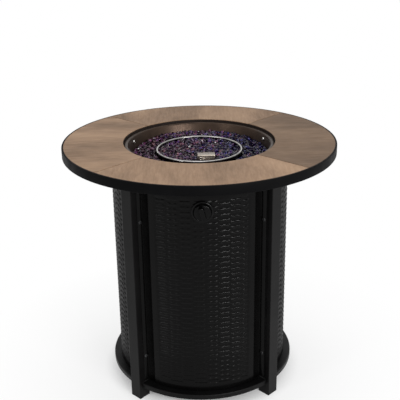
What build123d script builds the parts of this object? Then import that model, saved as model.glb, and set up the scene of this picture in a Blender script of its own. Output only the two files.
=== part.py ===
"""Round gas fire pit table: steel table with a tiled top, a drop-in fire bowl and a drum-shaped casing.

Millimetres, +Z up, the front with the control knob faces -Y.
The origin is on the floor, under the middle of the table.
"""
from build123d import *
from math import asin, atan2, cos, degrees, radians, sin, sqrt
import os

os.makedirs("parts", exist_ok=True)

# Table top
table_height = 711.0
table_radius = 381.0
rim_height = 26.0
top_sheet = 2.0
hem_width = 3.0
hem_depth = 6.0
rim_return = 15.0
rim_corner = 1.5
tile_thickness = 9.0
tile_gap = 0.6
tile_joint = 1.6
tile_edge = 0.8
hole_radius = 212.0
shelf_hole_radius = 203.0
collar_depth = 22.0
brace_count = 8
brace_width = 30.0
brace_depth = 10.0
brace_sheet = 1.5
brace_end_gap = 3.0

# Fire bowl and what stands in it
bowl_sheet = 1.2
bowl_flange_gap = 1.0
bowl_lip_radius = 199.4
bowl_floor_radius = 187.0
bowl_depth = 67.2
bowl_floor_bend = 12.0
bowl_lip_bend = 3.0
drain_hole_radius = 4.0
drain_hole_count = 8
drain_circle_radius = 158.0
bowl_screw_turn = 18.0
bowl_screw_drop = 22.0
bowl_screw_length = 11.5
guard_radius = 119.0
guard_sheet = 1.2
guard_bead = 3.4
guard_drop = 25.0
burner_radius = 65.0
burner_tube_width = 16.0
burner_tube_corner = 5.0
cross_tube_radius = 7.0
burner_lift = 17.8
port_radius = 1.3
port_count = 20
port_depth = 4.0
hub_radius = 13.0
hub_flange_radius = 20.0
hub_flange = 2.8
nipple_radius = 10.0
nipple_bore_radius = 7.0
nipple_length = 36.0
locknut_width = 32.0
locknut_height = 9.0
outer_glass_drop = 37.0
inner_glass_drop = 33.0
glass_gap = 0.5
glass_foot_inset = 15.0

# Spark electrode, thermocouple and their hood
hood_width = 48.0
hood_depth = 26.0
hood_height = 14.7
hood_center = (17.0, -80.0)
hood_sheet = 1.2
hood_slot = 2.0
hood_slot_length = 30.0
igniter_row = -83.0
igniter_spacing = 18.0
electrode_radius = 3.5
electrode_collar_radius = 5.5
electrode_wire_radius = 1.0
electrode_rise = 5.7
tip_gap = 1.8
thermocouple_radius = 2.4
thermocouple_hex_width = 9.0
igniter_collar = 3.0
igniter_tail = 30.0
bracket_sheet = 1.2
bracket_foot_width = 42.0
bracket_foot_depth = 15.0
bracket_strip_width = 24.0
bracket_collar_setback = 1.0

# Gas train under the bowl
shield_radius = 150.0
shield_sheet = 1.2
shield_lip = 8.0
spacer_length = 18.8
spacer_radius = 5.0
spacer_circle_radius = 120.0
spacer_count = 3
mixer_radius = 14.0
mixer_length = 40.0
mixer_socket = 16.0
mixer_bore_radius = 8.0
mixer_base = 8.0
air_hole_radius = 3.5
orifice_width = 17.0
orifice_height = 10.0
orifice_stub_radius = 3.5
orifice_stub = 7.5
gas_tube_radius = 4.8
gas_tube_wall = 1.0
gas_tube_bend = 20.0
gas_tube_drop = 20.0
tube_nut_width = 17.0
tube_nut_height = 12.0
lead_radius = 1.5
lead_drop = 16.0
lead_turn_row = -140.0
lead_near_bend = 10.0
lead_far_bend = 30.0
capillary_radius = 1.2

# Control
knob_drop = 118.0
knob_radius = 22.0
knob_skirt = 6.0
knob_bevel = 1.2
knob_travel = 4.0
grip_length = 41.0
grip_width = 14.0
grip_height = 15.0
grip_tilt = 14.0
grip_draft = 5.0
bezel_radius = 29.0
bezel_width = 5.5
bezel_stand = 5.0
bezel_corner = 1.5
knob_standoff = 5.5
stem_radius = 3.0
stem_flat = 0.8
stem_hole_radius = 9.0
stem_grip = 17.0
stem_seat = 10.0
valve_width = 30.0
valve_length = 30.0
valve_height = 32.0
valve_setback = 31.0
valve_corner = 2.0
bonnet_radius = 9.5
bonnet_length = 20.0
plunger_bore_radius = 7.1
plunger_bore_depth = 16.0
plunger_length = 4.0
plunger_inset = 1.0
outlet_boss_radius = 7.0
outlet_boss = 9.0
outlet_setback = 16.0
inlet_boss_radius = 9.0
inlet_boss = 5.0
inlet_hex_width = 19.0
inlet_hex_length = 8.0
inlet_thread_radius = 7.94
inlet_thread_length = 16.0
inlet_bore_radius = 3.0
port_boss_radius = 4.5
port_boss = 6.0
port_side = 8.0
port_rise = 7.0
piezo_radius = 6.0
piezo_length = 12.0
valve_bracket_sheet = 1.5
valve_bracket_width = 40.0
valve_bracket_arm = 30.0
valve_bracket_ear = 18.5
valve_bracket_turn = 3.5

# Casing
drum_radius = 249.0
panel_sheet = 1.2
panel_turn = 34.6
panel_lift = 2.0
panel_top_drop = 28.0
panel_lip = 7.5
groove_depth = 7.7
flange_step = 1.7
flange_width = 16.0
panel_screw_heights = (133.0, 543.0)
panel_screw_inset = 8.0
screw_radius = 2.5
screw_head_radius = 5.0
screw_head = 2.4
screw_length = 8.0

# Legs, rings and base tray
leg_setback = 9.6
leg_depth = 37.8
leg_width = 34.0
leg_wall = 2.0
leg_corner = 3.0
cover_depth = 11.0
cover_sheet = 1.5
cover_gap = 0.3
cover_lift = 1.0
cover_corner = 1.4
glide_height = 3.0
glide_plug = 12.0
glide_gap = 0.3
hoop_gap = 0.6
hoop_sheet = 2.0
hoop_height = 43.0
ring_flange_inset = 1.2
ring_flange = 3.0
tray_inset = 7.2
tray_top = 50.0
tray_sheet = 1.5
skirt_height = 14.0
tray_corner = 3.0
notch_gap = 0.6
vent_circle_radius = 175.0
vent_length = 60.0
vent_width = 8.0
vent_count = 8
tank_collar_radius = 109.5
tank_collar_height = 30.0
tank_collar_foot = 15.0
tank_collar_sheet = 1.5
base_bracket_sheet = 2.5
base_bracket_width = 30.0
base_bracket_drop = 34.0
base_bracket_reach = 24.0
bolt_radius = 3.0
bolt_head_width = 10.0
bolt_head_height = 4.0
bolt_length = 12.0
bolt_spacing = 17.0
leg_bolt_drop = 20.0
foot_bolt_level = 28.0
stud_inset = 20.0
stud_length = 12.0
stud_nut_height = 6.5

# Rear door
door_leg_gap = 3.5
hinge_heights = (150.0, 560.0)
hinge_length = 50.0
hinge_rise = 8.0
hinge_stand = 7.5
knuckle_radius = 4.0
hinge_pin_radius = 2.5
hinge_leaf = 2.0
leg_leaf_width = 19.0
door_leaf_width = 18.0
knuckle_gap = 0.3
magnet_turn = 22.0
magnet_lift = 3.0
magnet_length = 34.0
magnet_height = 18.0
magnet_gap = 0.5
pull_height = 400.0
pull_turn = 27.0
pull_radius = 14.0
pull_neck_radius = 5.0
pull_length = 22.0
pull_cap = 9.0
pull_stud = 9.0

# Clearances and the right angle
running_gap = 0.05
bolt_hole_gap = 0.2
touch_gap = 0.3
pass_gap = 0.5
quarter_turn = 90.0
half_turn = 180.0

# Levels and radii worked out from the sizes above
shelf_top = table_height - tile_thickness
shelf_bottom = shelf_top - top_sheet
rim_bottom = table_height - rim_height
rim_inner_radius = table_radius - top_sheet
tile_outer_radius = table_radius - hem_width - tile_gap
bowl_flange_radius = hole_radius - bowl_flange_gap
bowl_floor_top = shelf_top + bowl_sheet - bowl_depth
bowl_floor_bottom = bowl_floor_top - bowl_sheet
bowl_flange_top = shelf_top + bowl_sheet
screw_level = table_height - bowl_screw_drop
guard_top = table_height - guard_drop
burner_level = bowl_floor_top + burner_lift
burner_top = burner_level + burner_tube_width / 2
nipple_bottom = bowl_floor_bottom - nipple_length
outer_glass_top = table_height - outer_glass_drop
inner_glass_top = table_height - inner_glass_drop
hood_bottom = inner_glass_top + touch_gap
hood_top = hood_bottom + hood_height
electrode_side = hood_center[0] - igniter_spacing / 2
thermocouple_side = hood_center[0] + igniter_spacing / 2
igniter_tail_level = bowl_floor_bottom - igniter_tail
foot_row = igniter_row - bracket_collar_setback
shield_top = bowl_floor_bottom - spacer_length
mixer_top = nipple_bottom + mixer_socket - 2 * touch_gap
mixer_bottom = mixer_top - mixer_length
orifice_bottom = mixer_bottom - orifice_height
gas_tube_level = orifice_bottom - tube_nut_height - gas_tube_drop
knob_level = table_height - knob_drop
knob_back = drum_radius + knob_standoff
valve_front = drum_radius - valve_setback
valve_back = valve_front - valve_length
bonnet_front = valve_front + bonnet_length
stem_back = valve_front - stem_seat
stem_front = knob_back + stem_grip
outlet_row = outlet_setback - valve_front
outlet_bottom = knob_level - valve_height / 2 - outlet_boss
inlet_row = -(valve_front + valve_back) / 2
inlet_face = -valve_width / 2 - inlet_boss
port_level = knob_level + port_rise
groove_radius = drum_radius - groove_depth
flange_root = groove_radius + flange_step
flange_tip = flange_root + flange_width
panel_screw_reach = flange_tip - panel_screw_inset
leg_side = leg_width / 2
leg_inner_reach = drum_radius - leg_setback
leg_outer_reach = leg_inner_reach + leg_depth
leg_top = shelf_bottom - ring_flange
leg_middle = (leg_inner_reach + leg_outer_reach) / 2
leg_bolt_level = leg_top - leg_bolt_drop
cover_wrap = cover_gap + cover_sheet
cover_reach = leg_outer_reach + cover_wrap
hoop_radius = leg_inner_reach - hoop_gap
ring_flange_radius = leg_outer_reach - ring_flange_inset
stud_circle_radius = ring_flange_radius - stud_inset
tray_radius = leg_outer_reach - tray_inset
hinge_reach = flange_root + hinge_rise
hinge_across = leg_side + hinge_stand
panel_bottom = tray_top + panel_lift
panel_top = table_height - panel_top_drop
panel_skin = drum_radius - panel_sheet
panel_inner_turn = panel_turn - degrees(panel_sheet / drum_radius)
flange_face = leg_side + touch_gap
hoop_bottom = shelf_bottom - hoop_height
hoop_inner_radius = hoop_radius - hoop_sheet
bolt_head_corner = bolt_head_width / sqrt(3)
hoop_bolt_seat = sqrt(hoop_inner_radius**2 - (bolt_spacing / 2 + bolt_head_corner) ** 2) - running_gap
tray_bottom = tray_top - tray_sheet
magnet_half_turn = degrees(magnet_length / 2 / hoop_radius)
pull_nut_seat = panel_skin - 2 * running_gap
front = -quarter_turn
right = 0.0
rear = quarter_turn
left = half_turn
leg_turn = quarter_turn / 2
pull_heading = rear + pull_turn
bowl_screw_turns = (bowl_screw_turn, -bowl_screw_turn, left - bowl_screw_turn, left + bowl_screw_turn)
legs = {
    "front_left": front - leg_turn,
    "front_right": front + leg_turn,
    "rear_right": rear - leg_turn,
    "rear_left": rear + leg_turn,
}


def heading(turn):
    """Unit direction in the floor plane, turned from +X."""
    return Vector(cos(radians(turn)), sin(radians(turn)), 0)


def polar(radius, turn):
    """Point on the floor plane, by radius and turn from +X."""
    point = heading(turn) * radius
    return (point.X, point.Y)


def turned(turn, level=0.0):
    """Level plane whose own X points along the turn."""
    return Plane(origin=(0, 0, level), x_dir=heading(turn), z_dir=(0, 0, 1))


def facing(turn, reach, level):
    """Upright plane that looks outwards along the turn; its own X runs level."""
    origin = heading(turn) * reach + Vector(0, 0, level)
    return Plane(origin=origin, x_dir=heading(turn + quarter_turn), z_dir=heading(turn))


def beside_leg(reach, across):
    """Point beside the leg next to the panel at +X, by its reach and its distance from the leg's middle."""
    point = heading(leg_turn) * reach + heading(leg_turn - quarter_turn) * across
    return (point.X, point.Y)


def leg_flank(panel_heading, side, level):
    """Plane on the flank of a panel's leg, at the screws' reach, looking towards the panel."""
    leg_heading = panel_heading + side * leg_turn
    outwards = heading(leg_heading - side * quarter_turn)
    origin = heading(leg_heading) * panel_screw_reach + outwards * leg_side + Vector(0, 0, level)
    return Plane(origin=origin, x_dir=heading(leg_heading), z_dir=outwards)


def bowl_wall_radius(level):
    """Inner radius of the bowl's sloping wall at a level."""
    return bowl_floor_radius + (bowl_lip_radius - bowl_floor_radius) * (level - bowl_floor_top) / bowl_depth


def hexagon(width):
    """Hexagon by its width across the flats."""
    RegularPolygon(radius=width / 2, side_count=6, major_radius=False)


def sector_lines(inner_radius, outer_radius, half_turn):
    """Outline of a piece of a ring, on both sides of the sketch's own X."""
    CenterArc((0, 0), outer_radius, -half_turn, 2 * half_turn)
    CenterArc((0, 0), inner_radius, -half_turn, 2 * half_turn)
    Line(polar(inner_radius, half_turn), polar(outer_radius, half_turn))
    Line(polar(inner_radius, -half_turn), polar(outer_radius, -half_turn))


def panel_lines(groove_end, inner_groove_end):
    """Half outline of a casing panel from its middle, over the step, to the inner end of its groove."""
    Line((panel_skin, 0), (drum_radius, 0))
    CenterArc((0, 0), drum_radius, 0, panel_turn)
    Polyline(polar(drum_radius, panel_turn), polar(groove_radius, panel_turn), groove_end)
    CenterArc((0, 0), panel_skin, 0, panel_inner_turn)
    inner_step = polar(groove_radius - panel_sheet, panel_inner_turn)
    Polyline(polar(panel_skin, panel_inner_turn), inner_step, inner_groove_end)


bowl_screw_seat = bowl_wall_radius(screw_level - screw_head_radius)

# Steel table top: rim with a hemmed top edge, shelf for the tiles and a collar round the hole
with BuildPart() as tabletop_frame:
    with BuildSketch(Plane.XZ) as frame_profile:
        with BuildLine():
            Polyline(
                (table_radius, rim_bottom),
                (table_radius, table_height),
                (table_radius - hem_width, table_height),
                (table_radius - hem_width, table_height - hem_depth),
                (rim_inner_radius, table_height - hem_depth),
                (rim_inner_radius, shelf_top),
                (shelf_hole_radius, shelf_top),
                (shelf_hole_radius, shelf_top - collar_depth),
                (shelf_hole_radius + top_sheet, shelf_top - collar_depth),
                (shelf_hole_radius + top_sheet, shelf_bottom),
                (rim_inner_radius, shelf_bottom),
                (rim_inner_radius, rim_bottom + top_sheet),
                (table_radius - rim_return, rim_bottom + top_sheet),
                (table_radius - rim_return, rim_bottom),
                close=True,
            )
        make_face()
        fillet(frame_profile.vertices().group_by(Axis.X)[-1], radius=rim_corner)
    revolve(axis=Axis.Z)
    with BuildSketch(Plane.XY.offset(shelf_bottom)):
        with PolarLocations(stud_circle_radius, 4):
            Circle(bolt_radius)
    extrude(amount=-stud_length)
    for turn in bowl_screw_turns:
        with BuildSketch(facing(turn, shelf_hole_radius - top_sheet, screw_level)):
            Circle(screw_radius + bolt_hole_gap)
        extrude(amount=3 * top_sheet, mode=Mode.SUBTRACT)
tabletop_frame.part.label = "tabletop_frame"
export_step(tabletop_frame.part, "parts/tabletop_frame.step")

# Hat channels welded under the shelf, between the legs' ring and the rim
with BuildPart() as table_braces:
    brace_start = ring_flange_radius + brace_end_gap
    brace_end = rim_inner_radius - brace_end_gap
    brace_middle = (brace_start + brace_end) / 2
    brace_length = brace_end - brace_start
    first_brace_turn = half_turn / brace_count
    with BuildSketch(Plane.XY.offset(shelf_bottom)):
        with PolarLocations(brace_middle, brace_count, start_angle=first_brace_turn):
            Rectangle(brace_length, brace_width)
    extrude(amount=-brace_depth)
    with BuildSketch(Plane.XY.offset(shelf_bottom)):
        with PolarLocations(brace_middle, brace_count, start_angle=first_brace_turn):
            Rectangle(brace_length, brace_width - 2 * brace_sheet)
    extrude(amount=brace_sheet - brace_depth, mode=Mode.SUBTRACT)
table_braces.part.label = "table_braces"
export_step(table_braces.part, "parts/table_braces.step")

# Nuts that hold the table top to the legs' ring
with BuildPart() as tabletop_nuts:
    with BuildSketch(Plane.XY.offset(leg_top)):
        with PolarLocations(stud_circle_radius, 4):
            hexagon(bolt_head_width)
            Circle(bolt_radius + running_gap, mode=Mode.SUBTRACT)
    extrude(amount=-stud_nut_height)
tabletop_nuts.part.label = "tabletop_nuts"
export_step(tabletop_nuts.part, "parts/tabletop_nuts.step")

# Four porcelain tiles, each a quarter of the ring
for name, turn in (("tile_front", front), ("tile_right", right), ("tile_rear", rear), ("tile_left", left)):
    outer_turn = leg_turn - degrees(asin(tile_joint / 2 / tile_outer_radius))
    inner_turn = leg_turn - degrees(asin(tile_joint / 2 / hole_radius))
    with BuildPart() as tile:
        with BuildSketch(turned(turn, shelf_top)):
            with BuildLine():
                CenterArc((0, 0), tile_outer_radius, -outer_turn, 2 * outer_turn)
                CenterArc((0, 0), hole_radius, -inner_turn, 2 * inner_turn)
                Line(polar(hole_radius, inner_turn), polar(tile_outer_radius, outer_turn))
                Line(polar(hole_radius, -inner_turn), polar(tile_outer_radius, -outer_turn))
            make_face()
        extrude(amount=tile_thickness)
        chamfer(tile.edges().group_by(Axis.Z)[-1], length=tile_edge)
    tile.part.label = name
    export_step(tile.part, f"parts/{name}.step")

# Pressed bowl that drops into the table: its flange rests on the shelf
with BuildPart() as fire_bowl:
    with BuildSketch(Plane.XZ):
        with BuildLine():
            FilletPolyline(
                (0, bowl_floor_bottom),
                (bowl_floor_radius + bowl_sheet, bowl_floor_bottom),
                (bowl_lip_radius + bowl_sheet, shelf_top),
                (bowl_flange_radius, shelf_top),
                radius=(bowl_floor_bend + bowl_sheet, bowl_lip_bend - bowl_sheet),
            )
            FilletPolyline(
                (0, bowl_floor_top),
                (bowl_floor_radius, bowl_floor_top),
                (bowl_lip_radius, bowl_flange_top),
                (bowl_flange_radius, bowl_flange_top),
                radius=(bowl_floor_bend, bowl_lip_bend),
            )
            Line((bowl_flange_radius, shelf_top), (bowl_flange_radius, bowl_flange_top))
            Line((0, bowl_floor_bottom), (0, bowl_floor_top))
        make_face()
    revolve(axis=Axis.Z)
    with BuildSketch(Plane.XY.offset(bowl_floor_bottom - bowl_sheet)):
        Circle(nipple_radius + bolt_hole_gap)
        with PolarLocations(drain_circle_radius, drain_hole_count):
            Circle(drain_hole_radius)
        with Locations((electrode_side, igniter_row)):
            Circle(electrode_radius + bolt_hole_gap)
        with Locations((thermocouple_side, igniter_row)):
            Circle(thermocouple_radius + bolt_hole_gap)
    extrude(amount=3 * bowl_sheet, mode=Mode.SUBTRACT)
    for turn in bowl_screw_turns:
        with BuildSketch(facing(turn, bowl_screw_seat - bowl_sheet, screw_level)):
            Circle(screw_radius + bolt_hole_gap)
        extrude(amount=5 * bowl_sheet, mode=Mode.SUBTRACT)
fire_bowl.part.label = "fire_bowl"
export_step(fire_bowl.part, "parts/fire_bowl.step")

# Round-head screws through the bowl's wall into the table's collar
with BuildPart() as bowl_screws:
    for turn in bowl_screw_turns:
        with BuildSketch(facing(turn, bowl_screw_seat, screw_level)):
            Circle(screw_head_radius)
        extrude(amount=-screw_head)
        with BuildSketch(facing(turn, bowl_screw_seat, screw_level)):
            Circle(screw_radius)
        extrude(amount=bowl_screw_length)
bowl_screws.part.label = "bowl_screws"
export_step(bowl_screws.part, "parts/bowl_screws.step")

# Ring burner with a cross tube, a hub and a threaded nipple through the bowl's floor
with BuildPart() as burner:
    with BuildSketch(Plane.XZ):
        with Locations((burner_radius, burner_level)):
            RectangleRounded(burner_tube_width, burner_tube_width, burner_tube_corner)
    revolve(axis=Axis.Z)
    with BuildSketch(Plane.YZ.offset(-burner_radius)):
        with Locations(Location((0, burner_level, 0), (0, 0, quarter_turn))):
            Circle(cross_tube_radius)
    extrude(amount=2 * burner_radius)
    with BuildSketch(Plane.XY.offset(nipple_bottom)):
        Circle(nipple_radius)
    extrude(amount=burner_level - nipple_bottom)
    with BuildSketch(Plane.XY.offset(bowl_floor_top)):
        Circle(hub_flange_radius)
    extrude(amount=hub_flange)
    with BuildSketch(Plane.XY.offset(bowl_floor_top)):
        Circle(hub_radius)
    extrude(amount=burner_lift)
    with BuildSketch(Plane.XY.offset(nipple_bottom)):
        Circle(nipple_bore_radius)
    extrude(amount=burner_level - nipple_bottom, mode=Mode.SUBTRACT)
    with BuildSketch(Plane.XY.offset(burner_top)):
        with PolarLocations(burner_radius, port_count, start_angle=half_turn / port_count):
            Circle(port_radius)
    extrude(amount=-port_depth, mode=Mode.SUBTRACT)
burner.part.label = "burner"
export_step(burner.part, "parts/burner.step")

# Locknut that clamps the burner to the bowl from below
with BuildPart() as burner_locknut:
    with BuildSketch(Plane.XY.offset(bowl_floor_bottom)):
        hexagon(locknut_width)
        Circle(nipple_radius + running_gap, mode=Mode.SUBTRACT)
    extrude(amount=-locknut_height)
burner_locknut.part.label = "burner_locknut"
export_step(burner_locknut.part, "parts/burner_locknut.step")

# Polished ring that keeps the glass off the pilot, with a rolled bead along its top
with BuildPart() as guard_ring:
    with BuildSketch(Plane.XZ):
        with Locations((guard_radius - guard_sheet, bowl_floor_top)):
            Rectangle(guard_sheet, guard_top - guard_bead - bowl_floor_top, align=(Align.MIN, Align.MIN))
        with Locations((guard_radius - guard_sheet / 2, guard_top - guard_bead)):
            Circle(guard_bead)
    revolve(axis=Axis.Z)
guard_ring.part.label = "guard_ring"
export_step(guard_ring.part, "parts/guard_ring.step")

# Bed of fire glass outside the guard ring, lying in the bowl
with BuildPart() as fire_glass_outer:
    glass_foot_top = bowl_floor_top + glass_foot_inset
    with BuildSketch(Plane.XZ):
        with BuildLine():
            Polyline(
                (guard_radius + glass_gap, bowl_floor_top + glass_gap),
                (bowl_floor_radius - glass_foot_inset, bowl_floor_top + glass_gap),
                (bowl_wall_radius(glass_foot_top) - glass_gap, glass_foot_top),
                (bowl_wall_radius(outer_glass_top) - glass_gap, outer_glass_top),
                (guard_radius + glass_gap, outer_glass_top),
                close=True,
            )
        make_face()
    revolve(axis=Axis.Z)
fire_glass_outer.part.label = "fire_glass_outer"
export_step(fire_glass_outer.part, "parts/fire_glass_outer.step")

# Bed of fire glass inside the guard ring, round the burner and the igniter's well
with BuildPart() as fire_glass_inner:
    well_width = bracket_foot_width + 2 * glass_gap
    well_depth = bracket_foot_depth + 2 * glass_gap
    with BuildSketch(Plane.XY.offset(bowl_floor_top + glass_gap)):
        Circle(guard_radius - guard_sheet - glass_gap)
        with Locations((hood_center[0], foot_row)):
            Rectangle(well_width, well_depth, mode=Mode.SUBTRACT)
    extrude(amount=inner_glass_top - bowl_floor_top - glass_gap)
    with BuildSketch(Plane.XY.offset(bowl_floor_top + glass_gap)):
        Circle(burner_radius + burner_tube_width / 2 + glass_gap)
        Circle(burner_radius - burner_tube_width / 2 - glass_gap, mode=Mode.SUBTRACT)
        Rectangle(2 * burner_radius, 2 * (cross_tube_radius + glass_gap))
        Circle(hub_flange_radius + glass_gap)
    extrude(amount=burner_top - bowl_floor_top, mode=Mode.SUBTRACT)
fire_glass_inner.part.label = "fire_glass_inner"
export_step(fire_glass_inner.part, "parts/fire_glass_inner.step")

# Folded steel hood over the electrode, open to the burner and slotted in front
with BuildPart() as igniter_hood:
    with BuildSketch(Plane.XY.offset(hood_bottom)):
        with Locations(hood_center):
            Rectangle(hood_width, hood_depth)
    extrude(amount=hood_height)
    with BuildSketch(Plane.XY.offset(hood_bottom)):
        with Locations((hood_center[0], hood_center[1] + hood_sheet)):
            Rectangle(hood_width - 2 * hood_sheet, hood_depth)
    extrude(amount=hood_height - hood_sheet, mode=Mode.SUBTRACT)
    with BuildSketch(Plane.XZ.offset(hood_depth / 2 - hood_center[1] - 2 * hood_sheet)):
        with Locations((hood_center[0], hood_bottom + hood_height / 2)):
            with GridLocations(0, 2 * hood_slot, 1, 2):
                Rectangle(hood_slot_length, hood_slot)
    extrude(amount=3 * hood_sheet, mode=Mode.SUBTRACT)
igniter_hood.part.label = "igniter_hood"
export_step(igniter_hood.part, "parts/igniter_hood.step")

# Bracket that holds the hood, the electrode and the thermocouple to the bowl's floor
with BuildPart() as igniter_bracket:
    with BuildSketch(Plane.XY.offset(bowl_floor_top)):
        with Locations((hood_center[0], foot_row)):
            Rectangle(bracket_foot_width, bracket_foot_depth)
        with Locations((electrode_side, igniter_row)):
            Circle(electrode_radius + bolt_hole_gap, mode=Mode.SUBTRACT)
        with Locations((thermocouple_side, igniter_row)):
            Circle(thermocouple_radius + bolt_hole_gap, mode=Mode.SUBTRACT)
    extrude(amount=bracket_sheet)
    with BuildSketch(Plane.XY.offset(bowl_floor_top)):
        with Locations((hood_center[0], foot_row - bracket_foot_depth / 2)):
            Rectangle(bracket_strip_width, bracket_sheet, align=(Align.CENTER, Align.MIN))
    extrude(amount=hood_top - hood_sheet - bowl_floor_top)
igniter_bracket.part.label = "igniter_bracket"
export_step(igniter_bracket.part, "parts/igniter_bracket.step")

# Spark electrode: ceramic rod with a clamping collar and a bare wire tip
with BuildPart() as spark_electrode:
    with BuildSketch(Plane.XY.offset(igniter_tail_level)):
        with Locations((electrode_side, igniter_row)):
            Circle(electrode_radius)
    extrude(amount=hood_bottom + electrode_rise - igniter_tail_level)
    with BuildSketch(Plane.XY.offset(bowl_floor_top + bracket_sheet)):
        with Locations((electrode_side, igniter_row)):
            Circle(electrode_collar_radius)
    extrude(amount=igniter_collar)
    with BuildSketch(Plane.XY.offset(hood_bottom)):
        with Locations((electrode_side, igniter_row)):
            Circle(electrode_wire_radius)
    extrude(amount=hood_height - hood_sheet - tip_gap)
spark_electrode.part.label = "spark_electrode"
export_step(spark_electrode.part, "parts/spark_electrode.step")

# Thermocouple: steel sheath with a hexagonal collar
with BuildPart() as thermocouple:
    with BuildSketch(Plane.XY.offset(igniter_tail_level)):
        with Locations((thermocouple_side, igniter_row)):
            Circle(thermocouple_radius)
    extrude(amount=hood_top - hood_sheet - tip_gap - igniter_tail_level)
    with BuildSketch(Plane.XY.offset(bowl_floor_top + bracket_sheet)):
        with Locations((thermocouple_side, igniter_row)):
            hexagon(thermocouple_hex_width)
    extrude(amount=igniter_collar)
    thermocouple_tip = thermocouple.edges().group_by(Axis.Z)[-1]
    fillet(thermocouple_tip, radius=thermocouple_radius / 2)
thermocouple.part.label = "thermocouple"
export_step(thermocouple.part, "parts/thermocouple.step")

# Heat shield between the bowl and the gas bottle, with its edge turned down
with BuildPart() as heat_shield:
    with BuildSketch(Plane.XY.offset(shield_top)):
        Circle(shield_radius)
    extrude(amount=-shield_lip)
    with BuildSketch(Plane.XY.offset(shield_top - shield_sheet)):
        Circle(shield_radius - shield_sheet)
    extrude(amount=shield_sheet - shield_lip, mode=Mode.SUBTRACT)
    with BuildSketch(Plane.XY.offset(shield_top)):
        Circle(nipple_radius + pass_gap)
        with Locations((electrode_side, igniter_row)):
            Circle(electrode_radius + pass_gap)
        with Locations((thermocouple_side, igniter_row)):
            Circle(thermocouple_radius + pass_gap)
    extrude(amount=-shield_lip, mode=Mode.SUBTRACT)
heat_shield.part.label = "heat_shield"
export_step(heat_shield.part, "parts/heat_shield.step")

# Tubes that hold the shield off the bowl
with BuildPart() as shield_spacers:
    with BuildSketch(Plane.XY.offset(shield_top)):
        with PolarLocations(spacer_circle_radius, spacer_count, start_angle=rear):
            Circle(spacer_radius)
            Circle(screw_radius, mode=Mode.SUBTRACT)
    extrude(amount=spacer_length)
shield_spacers.part.label = "shield_spacers"
export_step(shield_spacers.part, "parts/shield_spacers.step")

# Air mixer: socket for the burner's nipple, air holes and a base for the orifice
with BuildPart() as air_mixer:
    with BuildSketch(Plane.XY.offset(mixer_bottom)):
        Circle(mixer_radius)
    extrude(amount=mixer_length)
    with BuildSketch(Plane.XY.offset(mixer_top)):
        Circle(nipple_radius + running_gap)
    extrude(amount=-mixer_socket, mode=Mode.SUBTRACT)
    with BuildSketch(Plane.XY.offset(mixer_bottom + mixer_base)):
        Circle(mixer_bore_radius)
    extrude(amount=mixer_length - mixer_base, mode=Mode.SUBTRACT)
    with BuildSketch(Plane.XY.offset(mixer_bottom)):
        Circle(orifice_stub_radius + running_gap)
    extrude(amount=mixer_base, mode=Mode.SUBTRACT)
    air_hole_level = mixer_bottom + mixer_base + 2 * air_hole_radius
    for turn in (right, rear):
        with BuildSketch(facing(turn, -mixer_radius, air_hole_level)):
            Circle(air_hole_radius)
        extrude(amount=2 * mixer_radius, mode=Mode.SUBTRACT)
air_mixer.part.label = "air_mixer"
export_step(air_mixer.part, "parts/air_mixer.step")

# Brass orifice screwed into the mixer from below
with BuildPart() as gas_orifice:
    with BuildSketch(Plane.XY.offset(mixer_bottom)):
        hexagon(orifice_width)
    extrude(amount=-orifice_height)
    with BuildSketch(Plane.XY.offset(mixer_bottom)):
        Circle(orifice_stub_radius)
    extrude(amount=orifice_stub)
gas_orifice.part.label = "gas_orifice"
export_step(gas_orifice.part, "parts/gas_orifice.step")

# Bent aluminium tube from the valve's outlet to the orifice
with BuildPart() as gas_tube:
    with BuildLine() as tube_path:
        FilletPolyline(
            (0, outlet_row, outlet_bottom),
            (0, outlet_row, gas_tube_level),
            (0, 0, gas_tube_level),
            (0, 0, orifice_bottom),
            radius=gas_tube_bend,
        )
    with BuildSketch(Plane(origin=(0, outlet_row, outlet_bottom), z_dir=(0, 0, -1))):
        Circle(gas_tube_radius)
        Circle(gas_tube_radius - gas_tube_wall, mode=Mode.SUBTRACT)
    sweep(path=tube_path.line)
gas_tube.part.label = "gas_tube"
export_step(gas_tube.part, "parts/gas_tube.step")

# Flare nuts on the tube's two ends
with BuildPart() as tube_nuts:
    for level, row in ((outlet_bottom, outlet_row), (orifice_bottom, 0)):
        with BuildSketch(Plane.XY.offset(level)):
            with Locations((0, row)):
                hexagon(tube_nut_width)
                Circle(gas_tube_radius + running_gap, mode=Mode.SUBTRACT)
        extrude(amount=-tube_nut_height)
tube_nuts.part.label = "tube_nuts"
export_step(tube_nuts.part, "parts/tube_nuts.step")

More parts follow.
